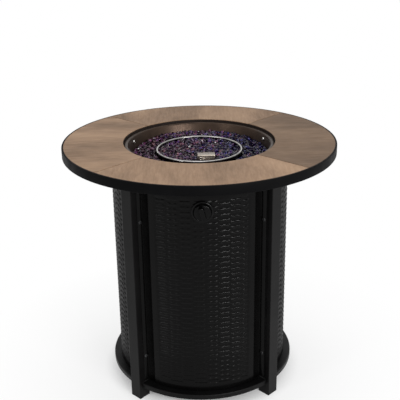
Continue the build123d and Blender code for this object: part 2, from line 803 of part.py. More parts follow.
# Gas valve: body, bonnet for the stem, outlet below, inlet at the side, ports behind
with BuildPart() as gas_valve:
    with BuildSketch(Plane.XZ.offset(valve_back)):
        with Locations((0, knob_level)):
            RectangleRounded(valve_width, valve_height, valve_corner)
    extrude(amount=valve_length)
    with BuildSketch(Plane.XZ.offset(valve_front)):
        with Locations((0, knob_level)):
            Circle(bonnet_radius)
    extrude(amount=bonnet_length)
    with BuildSketch(Plane.XY.offset(outlet_bottom)):
        with Locations((0, outlet_row)):
            Circle(outlet_boss_radius)
    extrude(amount=outlet_boss)
    with BuildSketch(Plane.YZ.offset(-valve_width / 2)):
        with Locations((inlet_row, knob_level)):
            Circle(inlet_boss_radius)
    extrude(amount=-inlet_boss)
    with BuildSketch(Plane.XZ.offset(valve_back)):
        with Locations((port_side, port_level)):
            Circle(port_boss_radius)
    extrude(amount=-port_boss)
    with BuildSketch(Plane.XZ.offset(valve_back)):
        with Locations((-port_side, port_level)):
            Circle(piezo_radius)
    extrude(amount=-piezo_length)
    with BuildSketch(Plane.XZ.offset(bonnet_front)):
        with Locations((0, knob_level)):
            Circle(plunger_bore_radius)
    extrude(amount=-plunger_bore_depth, mode=Mode.SUBTRACT)
    with BuildSketch(Plane.XZ.offset(bonnet_front)):
        with Locations((0, knob_level)):
            Circle(stem_radius + running_gap)
    extrude(amount=-(bonnet_front - stem_back + 2 * knob_travel), mode=Mode.SUBTRACT)
gas_valve.part.label = "gas_valve"
export_step(gas_valve.part, "parts/gas_valve.step")

# Brass inlet: hexagon and threaded end for the hose of the gas bottle
with BuildPart() as gas_inlet:
    with BuildSketch(Plane.YZ.offset(inlet_face)):
        with Locations((inlet_row, knob_level)):
            hexagon(inlet_hex_width)
            Circle(inlet_bore_radius, mode=Mode.SUBTRACT)
    extrude(amount=-inlet_hex_length)
    with BuildSketch(Plane.YZ.offset(inlet_face - inlet_hex_length)):
        with Locations((inlet_row, knob_level)):
            Circle(inlet_thread_radius)
            Circle(inlet_bore_radius, mode=Mode.SUBTRACT)
    extrude(amount=-inlet_thread_length)
gas_inlet.part.label = "gas_inlet"
export_step(gas_inlet.part, "parts/gas_inlet.step")

# Folded bracket that carries the valve on the inside of the front panel
with BuildPart() as valve_bracket:
    bracket_half_height = valve_bracket_width / 2 + valve_bracket_sheet
    ear_outer = panel_skin - running_gap
    ear_inner = ear_outer - valve_bracket_sheet
    with BuildSketch(Plane.XZ.offset(valve_front)):
        with Locations((0, knob_level)):
            Rectangle(valve_bracket_width, 2 * bracket_half_height)
            Circle(bonnet_radius + bolt_hole_gap, mode=Mode.SUBTRACT)
    extrude(amount=valve_bracket_sheet)
    for side in (1, -1):
        arm_level = knob_level + side * bracket_half_height
        with BuildSketch(Plane.XY.offset(arm_level)):
            with Locations((0, -valve_front)):
                Rectangle(valve_bracket_arm, ear_inner - valve_front, align=(Align.CENTER, Align.MAX))
        extrude(amount=-side * valve_bracket_sheet)
        with BuildSketch(turned(front, arm_level - side * valve_bracket_sheet)):
            with BuildLine():
                sector_lines(ear_inner, ear_outer, valve_bracket_turn)
            make_face()
        extrude(amount=side * valve_bracket_ear)
valve_bracket.part.label = "valve_bracket"
export_step(valve_bracket.part, "parts/valve_bracket.step")

# Plunger in the bonnet: it slides in with the stem but doesn't turn
with BuildPart() as stem_plunger:
    with BuildSketch(Plane.XZ.offset(bonnet_front - plunger_inset)):
        with Locations((0, knob_level)):
            Circle(plunger_bore_radius - running_gap)
            Circle(stem_radius + running_gap, mode=Mode.SUBTRACT)
    extrude(amount=-plunger_length)
stem_plunger.part.label = "stem_plunger"
export_step(stem_plunger.part, "parts/stem_plunger.step")

# Valve stem with a flat for the knob
with BuildPart() as valve_stem:
    with BuildSketch(Plane.XZ.offset(stem_back)):
        with Locations((0, knob_level)):
            Circle(stem_radius)
    extrude(amount=stem_front - stem_back)
    with BuildSketch(Plane.XZ.offset(knob_back)):
        with Locations((0, knob_level + 2 * stem_radius - stem_flat)):
            Rectangle(2 * stem_radius, 2 * stem_radius)
    extrude(amount=stem_front - knob_back, mode=Mode.SUBTRACT)
valve_stem.part.label = "valve_stem"
export_step(valve_stem.part, "parts/valve_stem.step")

# Control knob: bevelled skirt with a tapered grip bar
with BuildPart() as control_knob:
    with BuildSketch(Plane.XZ.offset(knob_back)):
        with Locations((0, knob_level)):
            Circle(knob_radius)
    extrude(amount=knob_skirt)
    chamfer(control_knob.edges().group_by(Axis.Y)[0], length=knob_bevel)
    with BuildSketch(Plane.XZ.offset(knob_back + knob_skirt)):
        with Locations((0, knob_level)):
            SlotOverall(grip_length, grip_width, rotation=quarter_turn + grip_tilt)
    extrude(amount=grip_height, taper=grip_draft)
    fillet(control_knob.edges().group_by(Axis.Y)[0], radius=knob_bevel)
    with BuildSketch(Plane.XZ.offset(knob_back)):
        with Locations((0, knob_level)):
            Circle(stem_radius)
        with Locations((0, knob_level + 2 * stem_radius - stem_flat)):
            Rectangle(2 * stem_radius, 2 * stem_radius, mode=Mode.SUBTRACT)
    extrude(amount=stem_grip, mode=Mode.SUBTRACT)
control_knob.part.label = "control_knob"
export_step(control_knob.part, "parts/control_knob.step")

# Bezel ring round the knob, its back shaped to the curved panel
with BuildPart() as knob_bezel:
    with BuildSketch(Plane.XZ.offset(drum_radius - 2 * bezel_stand)):
        with Locations((0, knob_level)):
            Circle(bezel_radius)
            Circle(bezel_radius - bezel_width, mode=Mode.SUBTRACT)
    extrude(amount=3 * bezel_stand)
    fillet(knob_bezel.edges().group_by(Axis.Y)[0], radius=bezel_corner)
    with BuildSketch(Plane.XY.offset(knob_level - 2 * bezel_radius)):
        Circle(drum_radius + running_gap)
    extrude(amount=4 * bezel_radius, mode=Mode.SUBTRACT)
knob_bezel.part.label = "knob_bezel"
export_step(knob_bezel.part, "parts/knob_bezel.step")

# Insulated lead from the valve's spark unit to the electrode
with BuildPart() as ignition_lead:
    with BuildLine() as lead_path:
        FilletPolyline(
            (electrode_side, igniter_row, igniter_tail_level),
            (electrode_side, igniter_row, igniter_tail_level - lead_drop),
            (-port_side, lead_turn_row, port_level),
            (-port_side, -valve_back + piezo_length, port_level),
            radius=(lead_near_bend, lead_far_bend),
        )
    with BuildSketch(Plane(origin=lead_path.line @ 0, z_dir=(0, 0, -1))):
        Circle(lead_radius)
    sweep(path=lead_path.line)
ignition_lead.part.label = "ignition_lead"
export_step(ignition_lead.part, "parts/ignition_lead.step")

# Copper capillary from the thermocouple to the valve
with BuildPart() as thermocouple_lead:
    with BuildLine() as capillary_path:
        FilletPolyline(
            (thermocouple_side, igniter_row, igniter_tail_level),
            (thermocouple_side, igniter_row, igniter_tail_level - lead_drop),
            (port_side, lead_turn_row, port_level),
            (port_side, -valve_back + port_boss, port_level),
            radius=(lead_near_bend, lead_far_bend),
        )
    with BuildSketch(Plane(origin=capillary_path.line @ 0, z_dir=(0, 0, -1))):
        Circle(capillary_radius)
    sweep(path=capillary_path.line)
thermocouple_lead.part.label = "thermocouple_lead"
export_step(thermocouple_lead.part, "parts/thermocouple_lead.step")

# Curved casing panels, front, left and right: each edge steps into a groove and turns out along a leg
for name, turn in (("front_panel", front), ("left_panel", left), ("right_panel", right)):
    with BuildPart() as panel:
        with BuildSketch(turned(turn, panel_bottom)):
            with BuildLine():
                flange_start = beside_leg(flange_root, flange_face + panel_sheet)
                inner_flange_start = beside_leg(flange_root - panel_sheet, flange_face)
                panel_lines(flange_start, inner_flange_start)
                Polyline(
                    flange_start,
                    beside_leg(flange_tip, flange_face + panel_sheet),
                    beside_leg(flange_tip, flange_face),
                    inner_flange_start,
                )
            make_face()
            mirror(about=Plane.XZ)
        extrude(amount=panel_top - panel_bottom)
        for level in (panel_bottom, panel_top - panel_sheet):
            with BuildSketch(turned(turn, level)):
                with BuildLine():
                    sector_lines(panel_skin - panel_lip, panel_skin + panel_sheet / 2, panel_inner_turn)
                make_face()
            extrude(amount=panel_sheet)
        for level in panel_screw_heights:
            for side in (1, -1):
                with BuildSketch(leg_flank(turn, side, level)):
                    Circle(screw_radius + bolt_hole_gap)
                extrude(amount=touch_gap + 2 * panel_sheet, mode=Mode.SUBTRACT)
        if name == "front_panel":
            with BuildSketch(Plane.XZ.offset(drum_radius - 2 * panel_sheet)):
                with Locations((0, knob_level)):
                    Circle(stem_hole_radius)
            extrude(amount=4 * panel_sheet, mode=Mode.SUBTRACT)
    panel.part.label = name
    export_step(panel.part, f"parts/{name}.step")

# Screws through the panels' flanges into the legs
with BuildPart() as panel_screws:
    for turn in (front, left, right):
        for side in (1, -1):
            for level in panel_screw_heights:
                seat = leg_flank(turn, side, level).offset(touch_gap + panel_sheet)
                with BuildSketch(seat):
                    Circle(screw_head_radius)
                extrude(amount=screw_head)
                with BuildSketch(seat):
                    Circle(screw_radius)
                extrude(amount=-screw_length)
panel_screws.part.label = "panel_screws"
export_step(panel_screws.part, "parts/panel_screws.step")

# Hinged rear door for the gas bottle: the same curved panel, free of the legs
with BuildPart() as rear_door:
    with BuildSketch(turned(rear, panel_bottom)):
        with BuildLine():
            door_edge = beside_leg(flange_root, leg_side + door_leg_gap)
            inner_door_edge = beside_leg(flange_root - panel_sheet, leg_side + door_leg_gap)
            panel_lines(door_edge, inner_door_edge)
            Line(door_edge, inner_door_edge)
        make_face()
        mirror(about=Plane.XZ)
    extrude(amount=panel_top - panel_bottom)
    for level in (panel_bottom, panel_top - panel_sheet):
        with BuildSketch(turned(rear, level)):
            with BuildLine():
                sector_lines(panel_skin - panel_lip, panel_skin + panel_sheet / 2, panel_inner_turn)
            make_face()
        extrude(amount=panel_sheet)
    with BuildSketch(facing(pull_heading, drum_radius - 2 * panel_sheet, pull_height)):
        Circle(bolt_radius + bolt_hole_gap)
    extrude(amount=4 * panel_sheet, mode=Mode.SUBTRACT)
rear_door.part.label = "rear_door"
export_step(rear_door.part, "parts/rear_door.step")

# Door pull: turned knob on a threaded stud, and the nut behind the door
with BuildPart() as door_pull:
    with BuildSketch(facing(pull_heading, drum_radius + running_gap, pull_height)):
        Circle(pull_neck_radius)
    extrude(amount=pull_length - pull_cap)
    with BuildSketch(facing(pull_heading, drum_radius + running_gap + pull_length - pull_cap, pull_height)):
        Circle(pull_radius)
    extrude(amount=pull_cap)
    fillet(door_pull.edges().filter_by(GeomType.CIRCLE).group_by(SortBy.RADIUS)[-1], radius=pull_cap / 3)
    with BuildSketch(facing(pull_heading, drum_radius + running_gap, pull_height)):
        Circle(bolt_radius)
    extrude(amount=-pull_stud)
door_pull.part.label = "door_pull"
export_step(door_pull.part, "parts/door_pull.step")
with BuildPart() as pull_nut:
    with BuildSketch(facing(pull_heading, pull_nut_seat, pull_height)):
        hexagon(bolt_head_width)
        Circle(bolt_radius + running_gap, mode=Mode.SUBTRACT)
    extrude(amount=-bolt_head_height)
pull_nut.part.label = "pull_nut"
export_step(pull_nut.part, "parts/pull_nut.step")

# Lift-off hinges in the groove beside the rear right leg: leaves on the leg, leaves on the door, and pins
with BuildPart() as leg_hinge_leaves:
    for level in hinge_heights:
        with BuildSketch(turned(leg_turn, level)):
            with Locations((flange_root, leg_side)):
                Rectangle(leg_leaf_width, hinge_leaf, align=(Align.MIN, Align.MIN))
        extrude(amount=hinge_length)
        with BuildSketch(turned(leg_turn, level)):
            with Locations((hinge_reach, leg_side + hinge_leaf / 2)):
                Rectangle(hinge_leaf, hinge_across - leg_side, align=(Align.CENTER, Align.MIN))
            with Locations((hinge_reach, hinge_across)):
                Circle(knuckle_radius)
                Circle(hinge_pin_radius, mode=Mode.SUBTRACT)
        extrude(amount=(hinge_length - knuckle_gap) / 2)
leg_hinge_leaves.part.label = "leg_hinge_leaves"
export_step(leg_hinge_leaves.part, "parts/leg_hinge_leaves.step")
with BuildPart() as door_hinge_leaves:
    groove_start = Vector(flange_root, leg_side + door_leg_gap)
    groove_run = Vector(*polar(groove_radius, leg_turn - panel_turn)) - groove_start
    groove_angle = degrees(atan2(groove_run.Y, groove_run.X))
    for level in hinge_heights:
        with BuildSketch(turned(leg_turn, level)):
            with Locations(Location((groove_start.X, groove_start.Y, 0), (0, 0, groove_angle))):
                Rectangle(door_leaf_width, hinge_leaf, align=(Align.MIN, Align.MAX))
        extrude(amount=hinge_length)
        with BuildSketch(turned(leg_turn, level + (hinge_length + knuckle_gap) / 2)):
            with Locations((flange_root + touch_gap, hinge_across)):
                Rectangle(hinge_reach - flange_root, hinge_leaf, align=(Align.MIN, Align.CENTER))
            with Locations((hinge_reach, hinge_across)):
                Circle(knuckle_radius)
                Circle(hinge_pin_radius + running_gap, mode=Mode.SUBTRACT)
        extrude(amount=(hinge_length - knuckle_gap) / 2)
door_hinge_leaves.part.label = "door_hinge_leaves"
export_step(door_hinge_leaves.part, "parts/door_hinge_leaves.step")
with BuildPart() as hinge_pins:
    for level in hinge_heights:
        with BuildSketch(turned(leg_turn, level)):
            with Locations((hinge_reach, hinge_across)):
                Circle(hinge_pin_radius)
        extrude(amount=hinge_length)
hinge_pins.part.label = "hinge_pins"
export_step(hinge_pins.part, "parts/hinge_pins.step")

# Magnet on the legs' ring that holds the door shut
with BuildPart() as door_magnet:
    with BuildSketch(turned(rear + magnet_turn, hoop_bottom + magnet_lift)):
        with BuildLine():
            sector_lines(hoop_radius, panel_skin - magnet_gap, magnet_half_turn)
        make_face()
    extrude(amount=magnet_height)
door_magnet.part.label = "door_magnet"
export_step(door_magnet.part, "parts/door_magnet.step")

# Legs: four rectangular tubes with their faces turned outwards
bore_depth = leg_depth - 2 * leg_wall
bore_width = leg_width - 2 * leg_wall
for corner, turn in legs.items():
    with BuildPart() as leg:
        with BuildSketch(turned(turn, glide_height)):
            with Locations((leg_middle, 0)):
                RectangleRounded(leg_depth, leg_width, leg_corner)
                RectangleRounded(bore_depth, bore_width, leg_corner - leg_wall, mode=Mode.SUBTRACT)
        extrude(amount=leg_top - glide_height)
        for level in (leg_bolt_level, foot_bolt_level):
            with BuildSketch(facing(turn, leg_inner_reach - leg_wall, level)):
                with GridLocations(bolt_spacing, 0, 2, 1):
                    Circle(bolt_radius + bolt_hole_gap)
            extrude(amount=2 * leg_wall, mode=Mode.SUBTRACT)
        for side in (1, -1):
            panel_heading = turn - side * leg_turn
            if panel_heading != rear:
                for level in panel_screw_heights:
                    with BuildSketch(leg_flank(panel_heading, side, level)):
                        Circle(screw_radius + bolt_hole_gap)
                    extrude(amount=-leg_wall, mode=Mode.SUBTRACT)
    leg.part.label = f"leg_{corner}"
    export_step(leg.part, f"parts/leg_{corner}.step")

# Covers: channels clipped over the outside of the legs
for corner, turn in legs.items():
    with BuildPart() as leg_cover:
        with BuildSketch(turned(turn, cover_lift)) as cover_outline:
            with Locations((cover_reach, 0)):
                Rectangle(cover_depth, leg_width + 2 * cover_wrap, align=(Align.MAX, Align.CENTER))
            fillet(cover_outline.vertices().group_by(Axis.X)[-1], radius=cover_corner)
            with Locations((cover_reach - cover_sheet, 0)):
                Rectangle(
                    cover_depth,
                    leg_width + 2 * cover_gap,
                    align=(Align.MAX, Align.CENTER),
                    mode=Mode.SUBTRACT,
                )
        extrude(amount=leg_top - touch_gap - cover_lift)
    leg_cover.part.label = f"leg_cover_{corner}"
    export_step(leg_cover.part, f"parts/leg_cover_{corner}.step")

# Plastic glides plugged into the feet
with BuildPart() as leg_glides:
    for turn in legs.values():
        with BuildSketch(turned(turn)):
            with Locations((leg_middle, 0)):
                RectangleRounded(leg_depth, leg_width, leg_corner)
        extrude(amount=glide_height)
        with BuildSketch(turned(turn, glide_height)):
            with Locations((leg_middle, 0)):
                Rectangle(bore_depth - 2 * glide_gap, bore_width - 2 * glide_gap)
        extrude(amount=glide_plug)
leg_glides.part.label = "leg_glides"
export_step(leg_glides.part, "parts/leg_glides.step")

# Rolled angle ring on top of the legs, under the table
with BuildPart() as upper_ring:
    with BuildSketch(Plane.XZ):
        with BuildLine():
            Polyline(
                (hoop_radius - hoop_sheet, hoop_bottom),
                (hoop_radius, hoop_bottom),
                (hoop_radius, leg_top),
                (ring_flange_radius, leg_top),
                (ring_flange_radius, shelf_bottom),
                (hoop_radius - hoop_sheet, shelf_bottom),
                close=True,
            )
        make_face()
    revolve(axis=Axis.Z)
    with BuildSketch(Plane.XY.offset(leg_top)):
        with PolarLocations(stud_circle_radius, 4):
            Circle(bolt_radius + bolt_hole_gap)
    extrude(amount=ring_flange, mode=Mode.SUBTRACT)
    for turn in legs.values():
        with BuildSketch(facing(turn, hoop_radius - 2 * hoop_sheet, leg_bolt_level)):
            with GridLocations(bolt_spacing, 0, 2, 1):
                Circle(bolt_radius + bolt_hole_gap)
        extrude(amount=3 * hoop_sheet, mode=Mode.SUBTRACT)
upper_ring.part.label = "upper_ring"
export_step(upper_ring.part, "parts/upper_ring.step")

# Bolts from inside: through the ring into the legs, and through the base brackets into the legs
for name, seat_reach, level in (
    ("leg_bolts", hoop_bolt_seat, leg_bolt_level),
    ("foot_bolts", leg_inner_reach - base_bracket_sheet, foot_bolt_level),
):
    with BuildPart() as bolts:
        for turn in legs.values():
            with BuildSketch(facing(turn, seat_reach, level)):
                with GridLocations(bolt_spacing, 0, 2, 1):
                    hexagon(bolt_head_width)
            extrude(amount=-bolt_head_height)
            with BuildSketch(facing(turn, seat_reach, level)):
                with GridLocations(bolt_spacing, 0, 2, 1):
                    Circle(bolt_radius)
            extrude(amount=bolt_length)
    bolts.part.label = name
    export_step(bolts.part, f"parts/{name}.step")

# Base tray: round floor with a turned-down skirt, notched for the legs and vented
with BuildPart() as base_tray:
    with BuildSketch(Plane.XY.offset(tray_top)):
        Circle(tray_radius)
    extrude(amount=-skirt_height)
    fillet(base_tray.edges().group_by(Axis.Z)[-1], radius=tray_corner)
    with BuildSketch(Plane.XY.offset(tray_bottom)):
        Circle(tray_radius - tray_sheet)
    extrude(amount=tray_sheet - skirt_height, mode=Mode.SUBTRACT)
    with BuildSketch(Plane.XY.offset(tray_top)):
        with PolarLocations(leg_inner_reach - notch_gap, 4, start_angle=leg_turn):
            Rectangle(
                tray_radius - leg_inner_reach + cover_depth,
                leg_width + 2 * (cover_wrap + notch_gap),
                align=(Align.MIN, Align.CENTER),
            )
        with PolarLocations(vent_circle_radius, vent_count, start_angle=half_turn / vent_count):
            SlotOverall(vent_length, vent_width)
    extrude(amount=-skirt_height, mode=Mode.SUBTRACT)
base_tray.part.label = "base_tray"
export_step(base_tray.part, "parts/base_tray.step")

# Angle brackets that carry the tray on the legs
with BuildPart() as base_brackets:
    for turn in legs.values():
        with BuildSketch(turned(turn, tray_bottom)):
            with Locations((leg_inner_reach, 0)):
                Rectangle(base_bracket_reach, base_bracket_width, align=(Align.MAX, Align.CENTER))
        extrude(amount=-base_bracket_sheet)
        with BuildSketch(turned(turn, tray_bottom)):
            with Locations((leg_inner_reach, 0)):
                Rectangle(base_bracket_sheet, base_bracket_width, align=(Align.MAX, Align.CENTER))
        extrude(amount=-base_bracket_drop)
        with BuildSketch(facing(turn, leg_inner_reach - 2 * base_bracket_sheet, foot_bolt_level)):
            with GridLocations(bolt_spacing, 0, 2, 1):
                Circle(bolt_radius + bolt_hole_gap)
        extrude(amount=2 * base_bracket_sheet, mode=Mode.SUBTRACT)
base_brackets.part.label = "base_brackets"
export_step(base_brackets.part, "parts/base_brackets.step")

# Collar on the tray that keeps the foot of the gas bottle in the middle
with BuildPart() as tank_collar:
    with BuildSketch(Plane.XY.offset(tray_top)):
        Circle(tank_collar_radius + tank_collar_foot)
        Circle(tank_collar_radius - tank_collar_sheet, mode=Mode.SUBTRACT)
    extrude(amount=tank_collar_sheet)
    with BuildSketch(Plane.XY.offset(tray_top)):
        Circle(tank_collar_radius)
        Circle(tank_collar_radius - tank_collar_sheet, mode=Mode.SUBTRACT)
    extrude(amount=tank_collar_height)
tank_collar.part.label = "tank_collar"
export_step(tank_collar.part, "parts/tank_collar.step")
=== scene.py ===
"""Looks of a round gas fire pit table: coated steel, porcelain tiles, a woven-pattern casing, fire glass."""

import math
import random

import bmesh
import bpy
from mathutils import Matrix, Vector


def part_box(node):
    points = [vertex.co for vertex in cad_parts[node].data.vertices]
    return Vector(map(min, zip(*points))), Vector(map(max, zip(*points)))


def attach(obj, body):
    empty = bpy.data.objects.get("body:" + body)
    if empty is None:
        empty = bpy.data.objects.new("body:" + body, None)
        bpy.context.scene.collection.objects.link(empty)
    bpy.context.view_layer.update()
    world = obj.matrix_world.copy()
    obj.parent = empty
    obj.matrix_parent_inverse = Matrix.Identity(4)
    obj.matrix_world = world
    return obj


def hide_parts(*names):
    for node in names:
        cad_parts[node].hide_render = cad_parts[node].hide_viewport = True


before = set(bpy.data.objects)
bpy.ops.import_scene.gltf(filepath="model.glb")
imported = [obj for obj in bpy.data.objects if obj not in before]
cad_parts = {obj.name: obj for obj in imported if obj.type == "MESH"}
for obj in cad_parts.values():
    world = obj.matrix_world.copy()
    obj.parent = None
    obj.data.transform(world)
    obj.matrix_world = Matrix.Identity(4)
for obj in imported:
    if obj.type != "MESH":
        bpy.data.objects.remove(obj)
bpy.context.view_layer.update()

# Steel of the frame: leg tubes and their folded covers, the rolled ring, the channels under the
# table, the base tray, its brackets and the bottle's collar. All of it is powder-coated black, a
# thick paint with a fine orange-peel skin.
coat_black = (0.0040, 0.0039, 0.0040, 1)
coat_leg = (0.0045, 0.0043, 0.0044, 1)
pattern_range = (0.3, 0.7)


def new_finish(name):
    """An empty finish: its material, nodes, links, shader and the piece's own coordinates."""
    material = bpy.data.materials.new(name)
    material.use_nodes = True
    nodes, links = material.node_tree.nodes, material.node_tree.links
    shader = nodes["Principled BSDF"]
    place = nodes.new("ShaderNodeTexCoord")
    return material, nodes, links, shader, place.outputs["Object"]


def speckle(nodes, links, place, scale, detail=3.0, roughness=0.55, stretch=(1, 1, 1), turn=0.0):
    """Cloudy pattern of a given fineness, in cells for each metre, stretched or turned about Z."""
    mapping = nodes.new("ShaderNodeMapping")
    mapping.inputs["Scale"].default_value = stretch
    mapping.inputs["Rotation"].default_value = (0, 0, turn)
    links.new(place, mapping.inputs["Vector"])
    cloud = nodes.new("ShaderNodeTexNoise")
    cloud.inputs["Scale"].default_value = scale
    cloud.inputs["Detail"].default_value = detail
    cloud.inputs["Roughness"].default_value = roughness
    links.new(mapping.outputs["Vector"], cloud.inputs["Vector"])
    return cloud.outputs["Fac"]


def rescale(nodes, links, source, start, end, low=0.0, high=1.0):
    """Turns a value that runs from start to end into one that runs from low to high."""
    level = nodes.new("ShaderNodeMapRange")
    level.inputs["From Min"].default_value = start
    level.inputs["From Max"].default_value = end
    level.inputs["To Min"].default_value = low
    level.inputs["To Max"].default_value = high
    links.new(source, level.inputs["Value"])
    return level.outputs["Result"]


def spread(nodes, links, source, low, high):
    """Turns a cloudy pattern, which hardly leaves its middle range, into a value between two levels."""
    return rescale(nodes, links, source, *pattern_range, low, high)


def tint(nodes, links, source, stops):
    """Turns a pattern of 0 to 1 into colours, by (place, colour) stops."""
    gradient = nodes.new("ShaderNodeValToRGB")
    marks = gradient.color_ramp.elements
    marks[0].position, marks[0].color = stops[0]
    marks[1].position, marks[1].color = stops[-1]
    for where, color in stops[1:-1]:
        marks.new(where).color = color
    links.new(source, gradient.inputs["Fac"])
    return gradient.outputs["Color"]


def raise_skin(nodes, links, shader, height, depth, strength=1.0):
    """Gives the shader a fine relief of a real depth."""
    bump = nodes.new("ShaderNodeBump")
    bump.inputs["Strength"].default_value = strength
    bump.inputs["Distance"].default_value = depth
    links.new(height, bump.inputs["Height"])
    links.new(bump.outputs["Normal"], shader.inputs["Normal"])


def shade_of(color, share):
    """A colour made lighter or darker."""
    return (color[0] * share, color[1] * share, color[2] * share, 1)


def powder_coat(name, color, low=0.34, high=0.46, peel=0.00004, sheen=0.1):
    """Powder coat: uneven gloss, faint dusty clouds and an orange-peel skin."""
    material, nodes, links, shader, place = new_finish(name)
    clouds = speckle(nodes, links, place, 9, 5, 0.6)
    stops = [(0.35, shade_of(color, 0.85)), (0.55, color), (0.75, shade_of(color, 1.5))]
    links.new(tint(nodes, links, clouds, stops), shader.inputs["Base Color"])
    wear = speckle(nodes, links, place, 26, 6)
    links.new(spread(nodes, links, wear, low, high), shader.inputs["Roughness"])
    shader.inputs["Specular IOR Level"].default_value = sheen
    raise_skin(nodes, links, shader, speckle(nodes, links, place, 950, 2), peel, 0.7)
    return material


def dress(material, *names):
    """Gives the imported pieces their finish."""
    for name in names:
        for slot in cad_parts[name].material_slots:
            slot.material = material


corners = ("front_left", "front_right", "rear_right", "rear_left")
frame_coat = powder_coat("frame_coat", coat_black)
leg_coat = powder_coat("leg_coat", coat_leg, 0.30, 0.42)
dress(frame_coat, "upper_ring", "table_braces", "base_tray", "base_brackets", "tank_collar")
dress(leg_coat, *[f"leg_{corner}" for corner in corners], *[f"leg_cover_{corner}" for corner in corners])


# Bolts, nuts and brackets under the table, of zinc-plated steel: bluish, a little cloudy and
# matt. The hinge leaves, the valve's bracket, the heat shield and the mixer are plated too.
def plated_steel(name, color, low, high, lay=(1, 1, 1), metallic=1.0):
    """Bare or plated metal with a fine lay of scratches along one way."""
    material, nodes, links, shader, place = new_finish(name)
    shader.inputs["Metallic"].default_value = metallic
    clouds = speckle(nodes, links, place, 30, 5, 0.65)
    stops = [(0.3, shade_of(color, 0.72)), (0.55, color), (0.8, shade_of(color, 1.12))]
    links.new(tint(nodes, links, clouds, stops), shader.inputs["Base Color"])
    scratches = speckle(nodes, links, place, 420, 3, 0.6, lay)
    links.new(spread(nodes, links, scratches, low, high), shader.inputs["Roughness"])
    raise_skin(nodes, links, shader, scratches, 0.00002, 0.5)
    return material


zinc_plate = plated_steel("zinc_plate", (0.36, 0.37, 0.38, 1), 0.3, 0.5)
dress(
    zinc_plate, "tabletop_nuts", "leg_bolts", "foot_bolts", "leg_hinge_leaves", "door_hinge_leaves",
    "pull_nut", "valve_bracket", "heat_shield", "shield_spacers", "air_mixer", "burner_locknut",
)
pin_steel = plated_steel("pin_steel", (0.6, 0.59, 0.57, 1), 0.16, 0.3, (1, 1, 0.1))
dress(pin_steel, "hinge_pins")


# Moulded plastic of the glides under the feet and of the door's magnet housing: black, with
# the dull sparkle of an eroded mould.
def moulded_plastic(name, color, low, high, texture=0.00003, sheen=0.3):
    """Moulded plastic with a faint eroded texture."""
    material, nodes, links, shader, place = new_finish(name)
    clouds = speckle(nodes, links, place, 60, 4)
    stops = [(0.35, shade_of(color, 0.8)), (0.7, shade_of(color, 1.35))]
    links.new(tint(nodes, links, clouds, stops), shader.inputs["Base Color"])
    wear = speckle(nodes, links, place, 300, 3)
    links.new(spread(nodes, links, wear, low, high), shader.inputs["Roughness"])
    shader.inputs["Specular IOR Level"].default_value = sheen
    raise_skin(nodes, links, shader, speckle(nodes, links, place, 1400, 2), texture, 0.6)
    return material


glide_plastic = moulded_plastic("glide_plastic", (0.02, 0.02, 0.021, 1), 0.45, 0.6)
dress(glide_plastic, "leg_glides", "door_magnet")

# Casing panels: steel sheet with a basket weave pressed into it. Flat strands run round the drum,
# over two stakes and under two, each row shifted against the next. The edges step back into a
# groove and turn out along the legs. The rear panel is the bottle's door and has no flanges.
drum_radius = 0.249
panel_sheet = 0.0012
panel_turn = math.radians(34.6)
groove_radius = 0.2413
flange_root = 0.243
flange_tip = 0.259
flange_across = 0.0185
door_across = 0.0205
corner_round = 0.0012
bend_reach = 0.02
arc_half = panel_turn - corner_round / drum_radius
panel_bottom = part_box("front_panel")[0].z
panel_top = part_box("front_panel")[1].z
panel_lip = 0.0075
leg_turn = math.radians(45)
strand = 0.00757
stake_pair = 0.0342
weave_bottom = 0.068
strand_rows = 74
row_places = (0.0, 0.12, 0.34, 0.66, 0.88)
lower_rows = 4
upper_rows = 8
weave_top = weave_bottom + strand_rows * strand
weave_half_width = 0.1305
weave_shift = 0.0064
columns = 100
weave_depth = 0.0019
weave_fade = 0.006
strand_crown = 0.92
strand_bend = 3.2
stake_dip = 0.5
tucked_lift = 0.16
face_slack = 1e-5
rim_slack = 1e-4
level_slack = 1e-6
knob_level = (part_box("control_knob")[0].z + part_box("control_knob")[1].z) / 2
stem_hole = 0.009
hole_border = 1.6
bracket_half_width = 0.0155
bracket_half_height = 0.0405
bracket_share = 0.55


def beside_leg(reach, across):
    """Point beside the leg next to a panel that faces +X, by reach and distance from the leg's middle."""
    along = Vector((math.cos(leg_turn), math.sin(leg_turn)))
    aside = Vector((math.sin(leg_turn), -math.cos(leg_turn)))
    return along * reach + aside * across


def at_turn(radius, turn):
    """Point on the floor plane by radius and turn from +X."""
    return Vector((radius * math.cos(turn), radius * math.sin(turn)))


def soften(points, radius):
    """The same line with each inner corner cut by three points of a small bend."""
    line = [points[0]]
    for before, corner, after in zip(points, points[1:], points[2:]):
        start = corner + (before - corner).normalized() * radius
        end = corner + (after - corner).normalized() * radius
        line += [start, (start + end + 2 * corner) / 4, end]
    return line + [points[-1]]


def ramp(value, start, run):
    """0 up to a start, rising to 1 over a run."""
    return min(1.0, max(0.0, (value - start) / run))


def weave_relief(arc, height):
    """How far the pressed sheet stands out at a place on the unrolled panel."""
    row = math.floor((height - weave_bottom) / strand)
    across = (height - weave_bottom) / strand - row - 0.5
    crown = math.sqrt(max(0.0, 1 - strand_crown * (2 * across) ** 2))
    phase = (arc - weave_shift) / stake_pair + row
    over = 0.5 + 0.5 * math.tanh(strand_bend * math.sin(math.pi * phase))
    stakes = 0.5 - 0.5 * math.cos(4 * math.pi * phase)
    lift = over * (1 - stake_dip + stake_dip * stakes) + (1 - over) * tucked_lift
    return weave_depth * (lift * crown - 1)


def weave_share(arc, height):
    """1 inside the woven field, falling to 0 on its plain border."""
    return ramp(min(weave_half_width - abs(arc), height - weave_bottom, weave_top - height), 0, weave_fade)


